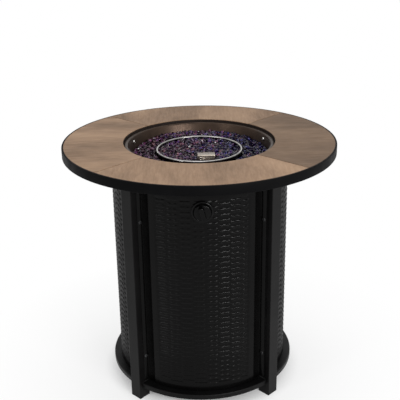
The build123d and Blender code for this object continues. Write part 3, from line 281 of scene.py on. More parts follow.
def over_bracket(arc, height):
    """Share of the relief that is left where the valve's bracket lies against the front sheet."""
    outside = max(abs(arc) - bracket_half_width, abs(height - knob_level) - bracket_half_height)
    return bracket_share + (1 - bracket_share) * ramp(outside, 0, weave_fade)


def panel_outline(ends):
    """The sheet's line on the floor plane, facing +X. Its ends run from the groove outwards."""
    bends = [*reversed(ends), at_turn(groove_radius, panel_turn), at_turn(drum_radius, panel_turn)]
    half = soften([*bends, at_turn(drum_radius, panel_turn - bend_reach)], corner_round)[:-1]
    field = [arc_half * (1 - 2 * step / columns) for step in range(1, columns)]
    other_half = [Vector((point.x, -point.y)) for point in reversed(half)]
    return half + [at_turn(drum_radius, angle) for angle in field] + other_half


def panel_levels():
    """Heights of the sheet's rows: a few on the plain borders, many on the woven field."""
    below, above = weave_bottom - panel_bottom, panel_top - weave_top
    levels = [panel_bottom + below * step / lower_rows for step in range(lower_rows)]
    levels += [weave_bottom + strand * (row + place) for row in range(strand_rows) for place in row_places]
    return levels + [weave_top + above * step / upper_rows for step in range(upper_rows + 1)]


def extruded(mesh, edges):
    """New vertices and edges of a strip that grows from the edges of a list."""
    grown = bmesh.ops.extrude_edge_only(mesh, edges=edges)["geom"]
    verts = [item for item in grown if isinstance(item, bmesh.types.BMVert)]
    return verts, [item for item in grown if isinstance(item, bmesh.types.BMEdge)]


def press_weave(mesh, behind_knob):
    """Presses the weave into the drum's face, less deep where the valve's bracket lies behind it."""
    for vert in mesh.verts:
        angle = math.atan2(vert.co.y, vert.co.x)
        radius = vert.co.xy.length
        if abs(angle) < arc_half and abs(radius - drum_radius) < face_slack:
            arc = angle * drum_radius
            share = weave_share(arc, vert.co.z)
            if behind_knob:
                share *= over_bracket(arc, vert.co.z)
            vert.co.xy = at_turn(radius + share * weave_relief(arc, vert.co.z), angle)


def turn_in_lips(mesh):
    """Turns the top and bottom edges of the drum's face inwards."""
    for level in (panel_bottom, panel_top):
        rim = [edge for edge in mesh.edges if all(
            abs(vert.co.z - level) < level_slack and abs(vert.co.xy.length - drum_radius) < rim_slack
            for vert in edge.verts)]
        for vert in extruded(mesh, rim)[0]:
            vert.co.xy *= (drum_radius - panel_sheet - panel_lip) / drum_radius


def open_stem_hole(mesh):
    """Cuts the round hole for the valve's stem."""
    axis = Vector((0, knob_level))
    inside = [face for face in mesh.faces if (face.calc_center_median().yz - axis).length < stem_hole]
    bmesh.ops.delete(mesh, geom=inside, context="FACES")
    for vert in mesh.verts:
        if vert.is_boundary and (vert.co.yz - axis).length < hole_border * stem_hole:
            vert.co.yz = axis + (vert.co.yz - axis).normalized() * stem_hole


def face_towards(mesh, face, way):
    """Turns a whole sheet over where a face of it looks away from a given way."""
    if face.normal.dot(way) < 0:
        bmesh.ops.reverse_faces(mesh, faces=mesh.faces)


def woven_panel(name, turn, ends, coat):
    """Pressed sheet facing a turn."""
    mesh = bmesh.new()
    levels = panel_levels()
    wire = [mesh.verts.new((point.x, point.y, levels[0])) for point in panel_outline(ends)]
    edges = [mesh.edges.new(pair) for pair in zip(wire, wire[1:])]
    for low, high in zip(levels, levels[1:]):
        verts, edges = extruded(mesh, edges)
        bmesh.ops.translate(mesh, vec=Vector((0, 0, high - low)), verts=verts)
    behind_knob = name == "woven_front"
    press_weave(mesh, behind_knob)
    turn_in_lips(mesh)
    if behind_knob:
        open_stem_hole(mesh)
    bmesh.ops.rotate(mesh, verts=mesh.verts, cent=(0, 0, 0), matrix=Matrix.Rotation(turn, 3, "Z"))
    bmesh.ops.recalc_face_normals(mesh, faces=mesh.faces)
    mesh.faces.ensure_lookup_table()
    middle = max(mesh.faces, key=lambda face: face.calc_center_median().xy.length)
    face_towards(mesh, middle, middle.calc_center_median() * Vector((1, 1, 0)))
    return finished(name, mesh, coat, wall=panel_sheet, smooth_angle=42)


def finished(name, mesh, material, wall=None, smooth_angle=40):
    """Turns a bmesh into an object of the scene, with its finish and, for a sheet, its thickness."""
    data = bpy.data.meshes.new(name)
    mesh.to_mesh(data)
    mesh.free()
    data.materials.append(material)
    data.shade_smooth()
    data.set_sharp_from_angle(angle=math.radians(smooth_angle))
    piece = bpy.data.objects.new(name, data)
    bpy.context.scene.collection.objects.link(piece)
    if wall:
        sheet = piece.modifiers.new("sheet", "SOLIDIFY")
        sheet.thickness = wall
        sheet.offset = -1
    return piece


panel_black = (0.0018, 0.0017, 0.0017, 1)
front_coat = powder_coat("front_panel_coat", panel_black, 0.22, 0.3, 0.00002, 0.09)
side_coat = powder_coat("side_panel_coat", panel_black, 0.38, 0.46, 0.00002, 0.04)
flange_ends = (beside_leg(flange_root, flange_across), beside_leg(flange_tip, flange_across))
door_ends = (beside_leg(flange_root, door_across),)
for name, turn, node, ends, coat, body in (
    ("woven_front", -90, "front_panel", flange_ends, front_coat, "pit_body"),
    ("woven_left", 180, "left_panel", flange_ends, side_coat, "pit_body"),
    ("woven_right", 0, "right_panel", flange_ends, side_coat, "pit_body"),
    ("woven_door", 90, "rear_door", door_ends, side_coat, "door"),
):
    woven = woven_panel(name, math.radians(turn), ends, coat)
    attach(woven, body)
    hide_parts(node)

# Screws: pan heads with a cross recess, black for the casing and stainless for the bowl. The
# casing's go sideways through the flanges into the legs, the bowl's go outwards through its wall
# into the table's collar.
screw_head_radius = 0.005
screw_head_height = 0.0024
screw_radius = 0.0025
recess_depth = 0.0013
recess_taper = 0.85
casing_shank = 0.008
bowl_shank = 0.0115
panel_screw_levels = (0.133, 0.543)
panel_screw_reach = 0.251
flange_seat = 0.0185
bowl_screw_level = 0.689
bowl_screw_reach = 0.195857
bowl_screw_angles = (18, -18, 162, 198)
cross_plan = ((-12, 0.55), (12, 0.55), (24, 0.3), (45, 0.2), (66, 0.3))
head_rings = ((1.0, 0.0), (1.0, 0.3), (0.94, 0.62), (0.8, 0.87), (0.64, 1.0))


def bridge(mesh, loops):
    """Joins each closed loop of vertices with the next one by a band of faces."""
    for low, high in zip(loops, loops[1:]):
        for step in range(len(low)):
            after = (step + 1) % len(low)
            mesh.faces.new((low[step], low[after], high[after], high[step]))


def add_screw(mesh, seat, outwards, shank):
    """Pan head on its seat with a cross recess, and a shank that goes the other way."""
    turn = outwards.to_track_quat("Z", "Y").to_matrix().to_4x4()
    spot = Matrix.Translation(seat) @ turn
    quarters = (0, 90, 180, 270)
    plan = [(math.radians(angle + quarter), share) for quarter in quarters for angle, share in cross_plan]
    rings = [[(angle, reach, rise) for angle, share in plan] for reach, rise in head_rings]
    rings.append([(angle, share, 1.0) for angle, share in plan])
    recess_floor = 1.0 - recess_depth / screw_head_height
    rings.append([(angle, recess_taper * share, recess_floor) for angle, share in plan])
    loops = []
    for ring in rings:
        loops.append([mesh.verts.new(spot @ Vector((
            screw_head_radius * reach * math.cos(angle), screw_head_radius * reach * math.sin(angle),
            screw_head_height * rise))) for angle, reach, rise in ring])
    bridge(mesh, loops)
    mesh.faces.new(loops[-1])
    mesh.faces.new(reversed(loops[0]))
    bmesh.ops.create_cone(
        mesh, cap_ends=True, segments=16, radius1=screw_radius, radius2=screw_radius, depth=shank,
        matrix=spot @ Matrix.Translation((0, 0, -shank / 2)),
    )


def direction(degrees):
    """Level unit vector by its turn from +X."""
    return Vector((math.cos(math.radians(degrees)), math.sin(math.radians(degrees)), 0))


screw_black = powder_coat("screw_black", (0.03, 0.03, 0.031, 1), 0.22, 0.34, 0.00001)
screw_steel = plated_steel("screw_steel", (0.66, 0.65, 0.63, 1), 0.14, 0.28)
casing_screws = bmesh.new()
for panel_heading in (-90, 180, 0):
    for side in (1, -1):
        leg_heading = panel_heading + side * 45
        outwards = direction(leg_heading - side * 90)
        for level in panel_screw_levels:
            seat = direction(leg_heading) * panel_screw_reach + outwards * flange_seat + Vector((0, 0, level))
            add_screw(casing_screws, seat, outwards, casing_shank)
casing_screws = finished("casing_screws", casing_screws, screw_black)
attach(casing_screws, "pit_body")
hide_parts("panel_screws")
wall_screws = bmesh.new()
for angle in bowl_screw_angles:
    seat = direction(angle) * bowl_screw_reach + Vector((0, 0, bowl_screw_level))
    add_screw(wall_screws, seat, -direction(angle), bowl_shank)
wall_screws = finished("wall_screws", wall_screws, screw_steel)
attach(wall_screws, "pit_body")
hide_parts("bowl_screws")

# Door pull: a turned steel knob on the rear door, held by a nut inside. It is painted like the
# casing, with an uneven gloss.
pull_coat = powder_coat("pull_coat", (0.014, 0.0135, 0.0135, 1), 0.2, 0.4, 0.00002)
dress(pull_coat, "door_pull")

# Gas train: cast aluminium valve with a brass inlet, a bent aluminium tube with brass flare nuts,
# and a brass orifice under the mixer. Steel stem, brass plunger.
brass = plated_steel("brass", (0.63, 0.44, 0.17, 1), 0.2, 0.38)
cast_aluminium = plated_steel("cast_aluminium", (0.5, 0.5, 0.51, 1), 0.45, 0.65)
drawn_aluminium = plated_steel("drawn_aluminium", (0.66, 0.66, 0.67, 1), 0.26, 0.4)
turned_steel = plated_steel("turned_steel", (0.6, 0.59, 0.57, 1), 0.15, 0.3)
dress(brass, "gas_orifice", "tube_nuts", "gas_inlet", "stem_plunger")
dress(cast_aluminium, "gas_valve")
dress(drawn_aluminium, "gas_tube")
dress(turned_steel, "valve_stem")

# Igniter's wires, which run under the bowl to the valve: the electrode's black silicone lead and
# the thermocouple's bare copper capillary.
lead_rubber = moulded_plastic("lead_rubber", (0.016, 0.015, 0.015, 1), 0.5, 0.65)
copper = plated_steel("copper", (0.6, 0.3, 0.18, 1), 0.22, 0.42)
dress(lead_rubber, "ignition_lead")
dress(copper, "thermocouple_lead")

# Bezel round the knob: a black die-cast ring, its back shaped to the drum. The knob in it is
# moulded plastic: a round skirt and a grip bar that leans to the left, worn smooth on its edges.
bezel_outline = (
    (0.0235, 0.0), (0.0235, 0.2529), (0.0238, 0.2535), (0.0246, 0.2539), (0.0262, 0.254),
    (0.0278, 0.2537), (0.0286, 0.2530), (0.029, 0.2520), (0.029, 0.0),
)
skirt_outline = (
    (0.0, 0.2545), (0.0216, 0.2545), (0.022, 0.2549), (0.022, 0.2588), (0.0216, 0.2597),
    (0.0207, 0.2603), (0.0195, 0.2605), (0.0, 0.2605),
)
grip_half = 0.0135
grip_rings = (
    (0.0085, 0.2603), (0.0078, 0.2606), (0.0072, 0.2614), (0.0070, 0.2630), (0.0059, 0.2735),
    (0.0055, 0.2747), (0.0047, 0.2753), (0.0036, 0.2755),
)
grip_lean = math.radians(14)
bar_side = 9
merge_reach = 0.000001


def turn_profile(mesh, outline, steps, centre=(0, 0, 0), axis=(0, 0, 1), closed=True):
    """Spins an outline of (radius, distance along the axis) about an axis through a centre."""
    axis = Vector(axis)
    aside = Vector((1, 0, 0))
    wire = [mesh.verts.new(Vector(centre) + aside * radius + axis * along) for radius, along in outline]
    edges = [mesh.edges.new(pair) for pair in zip(wire, wire[1:])]
    if closed:
        edges.append(mesh.edges.new((wire[-1], wire[0])))
    bmesh.ops.spin(
        mesh, geom=wire + edges, cent=centre, axis=axis, angle=math.radians(360), steps=steps, use_merge=True
    )
    bmesh.ops.remove_doubles(mesh, verts=mesh.verts, dist=merge_reach)
    bmesh.ops.recalc_face_normals(mesh, faces=mesh.faces)


knob_plastic = moulded_plastic("knob_plastic", (0.0026, 0.0025, 0.0026, 1), 0.12, 0.2, 0.00001, 0.1)
bezel_black = moulded_plastic("bezel_black", (0.0026, 0.0025, 0.0026, 1), 0.12, 0.2, 0.00001, 0.12)
bezel = bmesh.new()
turn_profile(bezel, bezel_outline, steps=96, centre=(0, 0, knob_level), axis=(0, -1, 0))
for vert in bezel.verts:
    if abs(vert.co.y) < drum_radius / 2:
        vert.co.y = -math.sqrt((drum_radius - weave_depth) ** 2 - vert.co.x ** 2)
bezel = finished("bezel", bezel, bezel_black)
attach(bezel, "pit_body")
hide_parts("knob_bezel")
knob = bmesh.new()
turn_profile(knob, skirt_outline, steps=72, centre=(0, 0, knob_level), axis=(0, -1, 0), closed=False)
long_way = Vector((-math.sin(grip_lean), 0, math.cos(grip_lean)))
short_way = Vector((math.cos(grip_lean), 0, math.sin(grip_lean)))
loops = []
for radius, reach in grip_rings:
    loop = []
    for end in (1, -1):
        for step in range(bar_side):
            angle = math.pi * step / (bar_side - 1)
            spot = long_way * (end * (grip_half + radius * math.sin(angle)))
            spot += short_way * (end * radius * math.cos(angle))
            loop.append(knob.verts.new(spot + Vector((0, -reach, knob_level))))
    loops.append(loop)
bridge(knob, loops)
knob.faces.new(loops[-1])
knob.faces.new(loops[0])
bmesh.ops.recalc_face_normals(knob, faces=knob.faces)
knob = finished("knob_and_grip", knob, knob_plastic, smooth_angle=50)
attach(knob, "knob")
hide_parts("control_knob")

# Table top: one steel pressing, powder-coated: a rim with a hemmed top edge and a turned-in foot,
# the shelf that carries the tiles, and a collar round the hole for the bowl. Four studs below.
table_outline = (
    (0.3660, 0.6850), (0.3795, 0.6850), (0.3804, 0.6853), (0.3809, 0.6859), (0.3810, 0.6868),
    (0.3810, 0.7094), (0.3808, 0.7103), (0.3803, 0.7108), (0.3795, 0.7110), (0.3787, 0.7108),
    (0.3782, 0.7103), (0.3780, 0.7095), (0.3780, 0.7052), (0.3790, 0.7050), (0.3790, 0.7020),
    (0.2042, 0.7020), (0.2034, 0.7016), (0.2030, 0.7008), (0.2030, 0.6800), (0.2050, 0.6800),
    (0.2050, 0.7000), (0.3790, 0.7000), (0.3790, 0.6870), (0.3660, 0.6870),
)
stud_reach = 0.256
stud_radius = 0.003
stud_length = 0.012
stud_level = 0.694
rim_coat = powder_coat("rim_coat", (0.0040, 0.0040, 0.0043, 1), 0.4, 0.55, 0.00003, 0.03)
table = bmesh.new()
turn_profile(table, table_outline, steps=240)
for turn in (0, 90, 180, 270):
    bmesh.ops.create_cone(
        table, cap_ends=True, segments=20, radius1=stud_radius, radius2=stud_radius, depth=stud_length,
        matrix=Matrix.Translation(direction(turn) * stud_reach + Vector((0, 0, stud_level))),
    )
table = finished("table_pressing", table, rim_coat, smooth_angle=50)
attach(table, "pit_body")
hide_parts("tabletop_frame")

# Tiles: four quarters of a ring in fired porcelain, printed and pressed like brown-grey oak. The
# grain of each runs outwards along its own middle line. The face is matt. Each tile's print is
# made lighter or darker as painted light, and near-black painted shade lies on the cut edges and
# chamfers below the face and in a thin band along the rim.
tile_lays = {"tile_front": 90, "tile_right": 0, "tile_rear": 90, "tile_left": 0}
oak = (
    (0.33, (0.130, 0.081, 0.050, 1)), (0.43, (0.190, 0.121, 0.075, 1)), (0.50, (0.241, 0.154, 0.096, 1)),
    (0.57, (0.301, 0.195, 0.122, 1)), (0.67, (0.385, 0.256, 0.163, 1)),
)
# Painted light: each tile's print is made lighter or darker by how light falls on it.
tile_painted_light = {"tile_front": 1.2, "tile_right": 0.66, "tile_rear": 1.0, "tile_left": 1.05}
# Painted shade: near-black on the cut edges and chamfers below the face and in a band along the rim.
tile_edge_shade = (0.016, 0.011, 0.009, 1)
unshaded_face_depth = 0.0011
tile_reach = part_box("tile_right")[1].x
rim_shade_width = 0.0016
edge_blur = 1.3
streak_stretch = 0.12
drift_stretch = 0.4
tile_shift = (0.37, 0.1147)


def combined(nodes, links, operation, *values):
    """Joins numbers or outputs of nodes by one operation."""
    node = nodes.new("ShaderNodeMath")
    node.operation = operation
    for socket, value in zip(node.inputs, values):
        if isinstance(value, bpy.types.NodeSocket):
            links.new(value, socket)
        else:
            socket.default_value = value
    return node.outputs["Value"]


def axis_value(nodes, links, place, axis):
    """One coordinate of a place."""
    parts = nodes.new("ShaderNodeSeparateXYZ")
    links.new(place, parts.inputs["Vector"])
    return parts.outputs[axis]


def distance(nodes, links, place, ways):
    """Distance from the origin, along the ways that are 1."""
    kept = nodes.new("ShaderNodeVectorMath")
    kept.operation = "MULTIPLY"
    kept.inputs[1].default_value = ways
    links.new(place, kept.inputs[0])
    reach = nodes.new("ShaderNodeVectorMath")
    reach.operation = "LENGTH"
    links.new(kept.outputs["Vector"], reach.inputs[0])
    return reach.outputs["Value"]


def midway(nodes, links, first, second):
    """Mean of two patterns."""
    mixed = nodes.new("ShaderNodeMix")
    mixed.data_type = "FLOAT"
    mixed.inputs[0].default_value = 0.5
    links.new(first, mixed.inputs[2])
    links.new(second, mixed.inputs[3])
    return mixed.outputs[0]


def printed_oak(tile, lay, number, tone_and_painted_light):
    """Wood-print porcelain of streaks, drift and clouds, with painted light per tile and painted shade on its
    edges.
    """
    material, nodes, links, shader, place = new_finish(f"porcelain_{tile}")
    moved = nodes.new("ShaderNodeMapping")
    moved.inputs["Location"].default_value = (number * tile_shift[0], number * tile_shift[1], 0)
    links.new(place, moved.inputs["Vector"])
    moved = moved.outputs["Vector"]
    along = (streak_stretch, 1, 1) if lay == 0 else (1, streak_stretch, 1)
    broad_along = (drift_stretch, 1, 1) if lay == 0 else (1, drift_stretch, 1)
    streaks = speckle(nodes, links, moved, 150, 9, 0.72, along, math.radians(9))
    drift = speckle(nodes, links, moved, 20, 7, 0.66, broad_along, math.radians(28))
    clouds = speckle(nodes, links, moved, 7, 4, 0.6, broad_along, math.radians(-20))
    grain = midway(nodes, links, midway(nodes, links, streaks, drift), clouds)
    # The print's colours are scaled by the tile's painted light.
    stops = [(where, shade_of(color, tone_and_painted_light)) for where, color in oak]
    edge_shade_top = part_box(tile)[1].z - unshaded_face_depth
    height = axis_value(nodes, links, place, "Z")
    clear_of_edge_shade = rescale(nodes, links, height, edge_shade_top - (edge_blur - 1) * unshaded_face_depth, edge_shade_top)
    reach = distance(nodes, links, place, (1, 1, 0))
    rim_shade_from = tile_reach - rim_shade_width
    clear_of_rim_shade = rescale(nodes, links, reach, rim_shade_from, rim_shade_from - (edge_blur - 1) * rim_shade_width)
    # Painted shade mixed over the print: below the face and in a band along the rim.
    edge_shaded = nodes.new("ShaderNodeMix")
    edge_shaded.data_type = "RGBA"
    edge_shaded.inputs[6].default_value = tile_edge_shade
    links.new(combined(nodes, links, "MULTIPLY", clear_of_edge_shade, clear_of_rim_shade), edge_shaded.inputs[0])
    links.new(tint(nodes, links, grain, stops), edge_shaded.inputs[7])
    links.new(edge_shaded.outputs[2], shader.inputs["Base Color"])
    links.new(spread(nodes, links, streaks, 0.66, 0.5), shader.inputs["Roughness"])
    shader.inputs["Specular IOR Level"].default_value = 0.12
    raise_skin(nodes, links, shader, streaks, 0.0003, 0.6)
    return material


for number, (name, lay) in enumerate(tile_lays.items(), 1):
    dress(printed_oak(name, lay, number, tile_painted_light[name]), name)

# Fire bowl: spun steel with a flat flange on the shelf, a small bend at the lip, a sloping wall
# and a flat floor. Heat has tinted the wall a dark bronze brown.
bowl_wall = 0.0012
bowl_face = (
    (0.2110, 0.7032), (0.2040, 0.7032), (0.2020, 0.7031), (0.2007, 0.7025), (0.1998, 0.7015),
    (0.1991, 0.7000), (0.1902, 0.6520), (0.1892, 0.6462), (0.1877, 0.6415), (0.1850, 0.6378),
    (0.1815, 0.6362), (0.1780, 0.6360), (0.0, 0.6360),
)
bowl_steel = plated_steel("bowl_steel", (0.041, 0.026, 0.018, 1), 0.34, 0.48, (1, 1, 0.06), 0.85)
bowl = bmesh.new()
turn_profile(bowl, bowl_face, steps=192, closed=False)
bowl.faces.ensure_lookup_table()
floor_face = min(bowl.faces, key=lambda face: face.calc_center_median().length)
face_towards(bowl, floor_face, Vector((0, 0, 1)))
bowl = finished("spun_bowl", bowl, bowl_steel, wall=bowl_wall)
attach(bowl, "pit_body")
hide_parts("fire_bowl")

# Burner and guard ring, of stainless steel. The burner is welded from bent tube and browned by
# heat. The ring is polished, with a rolled bead along its top, and keeps the glass off the pilot.
# Its colour is painted lighter up the bead as a painted highlight and darker below as a painted
# reflection of the dark glass, under random soot clouds.
burner_steel = plated_steel("burner_steel", (0.33, 0.25, 0.19, 1), 0.3, 0.5)
dress(burner_steel, "burner")
bead_radius = 0.0034
bead_level = 0.6826
bead_middle = 0.1184
bead_start = -75
bead_sweep = 330
bead_steps = 20
wall_foot = 0.6360
wall_head = 0.6794
wall_inner = 0.1178
wall_outer = 0.1190
soot_patches = 0.6
soot_and_painted_light_stops = (
    (0.0, (0.02, 0.018, 0.017, 1)), (0.55, (0.05, 0.047, 0.045, 1)), (0.84, (0.2, 0.195, 0.19, 1)),
    (1.0, (0.42, 0.41, 0.40, 1)),
)
polished_steel, nodes, links, shader, place = new_finish("polished_steel")
shader.inputs["Metallic"].default_value = 1.0
soot_clouds = speckle(nodes, links, place, 35, 4)
height = axis_value(nodes, links, place, "Z")
# Painted highlight up the bead and painted reflection of the dark glass below it, with random soot clouds
# over both.
painted_bead_highlight = rescale(nodes, links, height, bead_level - bead_radius, bead_level + bead_radius)
soot = combined(nodes, links, "MULTIPLY_ADD", soot_clouds, soot_patches, -soot_patches / 2)
painted_light_and_soot = combined(nodes, links, "ADD", painted_bead_highlight, soot)
links.new(tint(nodes, links, painted_light_and_soot, soot_and_painted_light_stops), shader.inputs["Base Color"])
links.new(spread(nodes, links, soot_clouds, 0.1, 0.24), shader.inputs["Roughness"])
raise_skin(nodes, links, shader, speckle(nodes, links, place, 500, 3), 0.00001, 0.4)
bead_turns = [math.radians(bead_start + bead_sweep * step / bead_steps) for step in range(bead_steps + 1)]
bead = [Vector((bead_middle, bead_level)) + at_turn(bead_radius, turn) for turn in bead_turns]
guard_outline = [
    (wall_inner, wall_foot), (wall_outer, wall_foot), (wall_outer, wall_head), *bead, (wall_inner, wall_head),
]
guard = bmesh.new()
turn_profile(guard, guard_outline, steps=240)
guard = finished("polished_ring", guard, polished_steel, smooth_angle=35)
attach(guard, "pit_body")
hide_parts("guard_ring")

# Igniter hood: light sheet steel folded over the electrode and open towards the burner, with two
# slots in front. Its bracket, the white ceramic electrode and the thermocouple stand in it.
hood_low, hood_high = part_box("igniter_hood")
hood_sheet = 0.0012
hood_bend = 0.0016
slot_left = 0.002
slot_right = 0.032
slot_near = 0.001
slot_far = 0.003
hood_steel = plated_steel("hood_steel", (0.42, 0.37, 0.31, 1), 0.24, 0.42)
ceramic = moulded_plastic("ceramic", (0.72, 0.70, 0.64, 1), 0.3, 0.45)
dress(hood_steel, "igniter_bracket", "thermocouple")
dress(ceramic, "spark_electrode")
hood = bmesh.new()
across = (hood_low.x, slot_left, slot_right, hood_high.x)
middle_level = (hood_low.z + hood_high.z) / 2
slot_edges = [middle_level + rise for rise in (-slot_far, -slot_near, slot_near, slot_far)]
upwards = (hood_low.z, *slot_edges, hood_high.z)
for column, (left_side, right_side) in enumerate(zip(across, across[1:])):
    for row, (low, high) in enumerate(zip(upwards, upwards[1:])):
        if column != 1 or row not in (1, 3):
            hood.faces.new([hood.verts.new((x, hood_low.y, z)) for x, z in (
                (left_side, low), (right_side, low), (right_side, high), (left_side, high))])
    hood.faces.new([hood.verts.new((x, y, hood_high.z)) for x, y in (
        (left_side, hood_low.y), (right_side, hood_low.y),
        (right_side, hood_high.y), (left_side, hood_high.y))])
for side in (hood_low.x, hood_high.x):
    for low, high in zip(upwards, upwards[1:]):
        hood.faces.new([hood.verts.new((side, y, z)) for y, z in (
            (hood_low.y, low), (hood_high.y, low), (hood_high.y, high), (hood_low.y, high))])
bmesh.ops.remove_doubles(hood, verts=hood.verts, dist=merge_reach)
bmesh.ops.recalc_face_normals(hood, faces=hood.faces)
hood.faces.ensure_lookup_table()
lid = max(hood.faces, key=lambda face: face.calc_center_median().z)
face_towards(hood, lid, Vector((0, 0, 1)))
folds = [edge for edge in hood.edges if len(edge.link_faces) == 2 and edge.calc_face_angle() > 1]
bmesh.ops.bevel(
    hood, geom=folds, offset=hood_bend, affect="EDGES", segments=3, profile=0.5, material=-1,
    clamp_overlap=True,
)
hood = finished("folded_hood", hood, hood_steel, wall=hood_sheet, smooth_angle=50)
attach(hood, "pit_body")
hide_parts("igniter_hood")

# Fire glass: tempered glass broken into chips of about a centimetre, violet to deep blue, heaped
# in the bowl outside the ring and, a little higher, inside it. A few chips are painted much lighter
# as painted glints, and a dark sheet under them stands in for the lower chips as painted shade.
dice = random.Random(7)
chip_kinds = 28
chip_corners = 11
chip_half = (0.0071, 0.0056, 0.0044)
chip_cut = (0.82, 1.0)
chip_step = 0.0098
chip_tilt = 0.55
chip_sizes = (0.72, 1.12)
layer_drops = (0.0032, 0.0006)
chip_sink = 0.0026
chip_rise = 0.0006
ring_wander = 0.003
step_wander = 0.4
gap_share = 0.22
violet = Vector((0.068, 0.018, 0.052))
blue = Vector((0.014, 0.011, 0.082))
pink = Vector((0.150, 0.058, 0.074))
blue_rise = 3.2
blue_scatter = 0.28
pink_share = 0.24
pink_fall = 0.7
pink_mix = (0.3, 1.0)
dark_share = 0.72
dark_tones = (0.2, 0.85)
# Painted glints: a few chips made much lighter than the glass.
painted_glint_tones = (1.3, 3.0)
rear_heap = 0.006
rear_slope = (0.06, 0.1)
left_sag = 0.0055
left_slope = (0.115, 0.06)
heap_push = 0.3
bed_drop = 0.0055
bed_margin = 0.004
bed_steps = 96
# Painted shade: a near-black sheet that stands in for the lower chips.
painted_shade_bed_color = (0.003, 0.002, 0.005, 1)
outer_extent = (0.1262, 0.1885, 0.674)
inner_extent = (0.0030, 0.1135, 0.678)
hood_gap = 0.004
hood_rear_gap = 0.003


def heap(x, y):
    """How far the glass stands above or below its usual level at a place."""
    return rear_heap * ramp(y, *rear_slope) - left_sag * ramp(-x, *left_slope)


def chip_shape():
    """Corners and faces of one broken chip."""
    mesh = bmesh.new()
    for _ in range(chip_corners):
        way = Vector((dice.gauss(0, 1), dice.gauss(0, 1), dice.gauss(0, 1))).normalized()
        mesh.verts.new([part * half * dice.uniform(*chip_cut) for part, half in zip(way, chip_half)])
    bmesh.ops.convex_hull(mesh, input=mesh.verts)
    bmesh.ops.delete(mesh, geom=[vert for vert in mesh.verts if not vert.link_faces], context="VERTS")
    bmesh.ops.recalc_face_normals(mesh, faces=mesh.faces)
    mesh.verts.index_update()
    points = [vert.co.copy() for vert in mesh.verts]
    faces = [[vert.index for vert in face.verts] for face in mesh.faces]
    mesh.free()
    return points, faces


def chip_spots(inner_radius, outer_radius, top, kept_off):
    """Places of the chips, ring by ring in two layers, the upper one with gaps."""
    rings = int((outer_radius - inner_radius) / chip_step)
    for layer, drop in enumerate(layer_drops):
        for ring in range(rings + 1):
            radius = inner_radius + (outer_radius - inner_radius) * (ring + 0.5 * layer) / rings
            count = max(1, int(2 * math.pi * radius / chip_step))
            for step in range(count):
                angle = 2 * math.pi * (step + dice.uniform(-step_wander, step_wander) + 0.5 * layer) / count
                reach = radius + dice.uniform(-ring_wander, ring_wander)
                reach = min(outer_radius, max(inner_radius, reach))
                spot = Vector((reach * math.cos(angle), reach * math.sin(angle), top - drop))
                spot.z += dice.uniform(-chip_sink, chip_rise)
                lift = heap(spot.x, spot.y)
                spot.z += lift
                spot.xy *= 1 + heap_push * max(0.0, lift) / reach
                if not kept_off(spot) and not (layer and dice.random() < gap_share):
                    yield spot


def tumbled():
    """A random way round for a chip, most of them lying nearly flat."""
    tumble = Matrix.Rotation(dice.uniform(0, 2 * math.pi), 3, "Z")
    tumble @= Matrix.Rotation(dice.gauss(0, chip_tilt), 3, "X")
    tumble @= Matrix.Rotation(dice.gauss(0, chip_tilt), 3, "Y")
    return tumble


def chip_color(x):
    """Colour of a chip: more violet and pink to the left, more blue to the right, mostly dark, a few painted
    glints.
    """
    to_blue = min(1, max(0, 0.5 + x * blue_rise + dice.gauss(0, blue_scatter)))
    color = violet.lerp(blue, to_blue)
    if dice.random() < pink_share - x * pink_fall:
        color = color.lerp(pink, dice.uniform(*pink_mix))
    tones = dark_tones if dice.random() < dark_share else painted_glint_tones
    return (*(color * dice.uniform(*tones)), 1)


def glass_bed(name, inner_radius, outer_radius, top, kept_off):
    """Loose chips over a dark sheet of painted shade, as one piece with a colour of each chip."""
    points_all, faces_all, colors = [], [], []
    for spot in chip_spots(inner_radius, outer_radius, top, kept_off):
        tumble = tumbled()
        points, faces = chips[dice.randrange(chip_kinds)]
        size = dice.uniform(*chip_sizes)
        first = len(points_all)
        points_all += [spot + tumble @ (point * size) for point in points]
        faces_all += [[first + index for index in face] for face in faces]
        colors += [chip_color(spot.x)] * len(points)
    first = len(points_all)
    for radius in (outer_radius + bed_margin, max(0.0, inner_radius - bed_margin)):
        for step in range(bed_steps):
            spot = at_turn(radius, 2 * math.pi * step / bed_steps)
            points_all.append((spot.x, spot.y, top - bed_drop + heap(spot.x, spot.y)))
            colors.append(painted_shade_bed_color)
    for step in range(bed_steps):
        after = (step + 1) % bed_steps
        faces_all.append([first + step, first + after, first + bed_steps + after, first + bed_steps + step])
    data = bpy.data.meshes.new(name)
    data.from_pydata(points_all, [], faces_all)
    data.materials.append(glass)
    tones = data.color_attributes.new("chip_color_and_glint", "FLOAT_COLOR", "POINT")
    for index, color in enumerate(colors):
        tones.data[index].color = color
    piece = bpy.data.objects.new(name, data)
    bpy.context.scene.collection.objects.link(piece)
    return piece


glass, nodes, links, shader, place = new_finish("fire_glass")
# Each chip's colour, painted glints included.
tone_and_painted_light = nodes.new("ShaderNodeAttribute")
tone_and_painted_light.attribute_name = "chip_color_and_glint"
links.new(tone_and_painted_light.outputs["Color"], shader.inputs["Base Color"])
links.new(spread(nodes, links, speckle(nodes, links, place, 240, 3), 0.1, 0.24), shader.inputs["Roughness"])
shader.inputs["IOR"].default_value = 1.52
shader.inputs["Transmission Weight"].default_value = 0.3
shader.inputs["Specular IOR Level"].default_value = 0.25
raise_skin(nodes, links, shader, speckle(nodes, links, place, 180, 2), 0.0004, 0.5)
chips = [chip_shape() for _ in range(chip_kinds)]


def under_hood(spot):
    """True where the hood and its well keep the chips away."""
    beside = hood_low.x - hood_gap < spot.x < hood_high.x + hood_gap
    return beside and hood_low.y - hood_gap < spot.y < hood_high.y + hood_rear_gap


outer_bed = glass_bed("glass_outside_ring", *outer_extent, lambda spot: False)
inner_bed = glass_bed("glass_inside_ring", *inner_extent, under_hood)
for bed, node in ((outer_bed, "fire_glass_outer"), (inner_bed, "fire_glass_inner")):
    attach(bed, "pit_body")
    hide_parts(node)

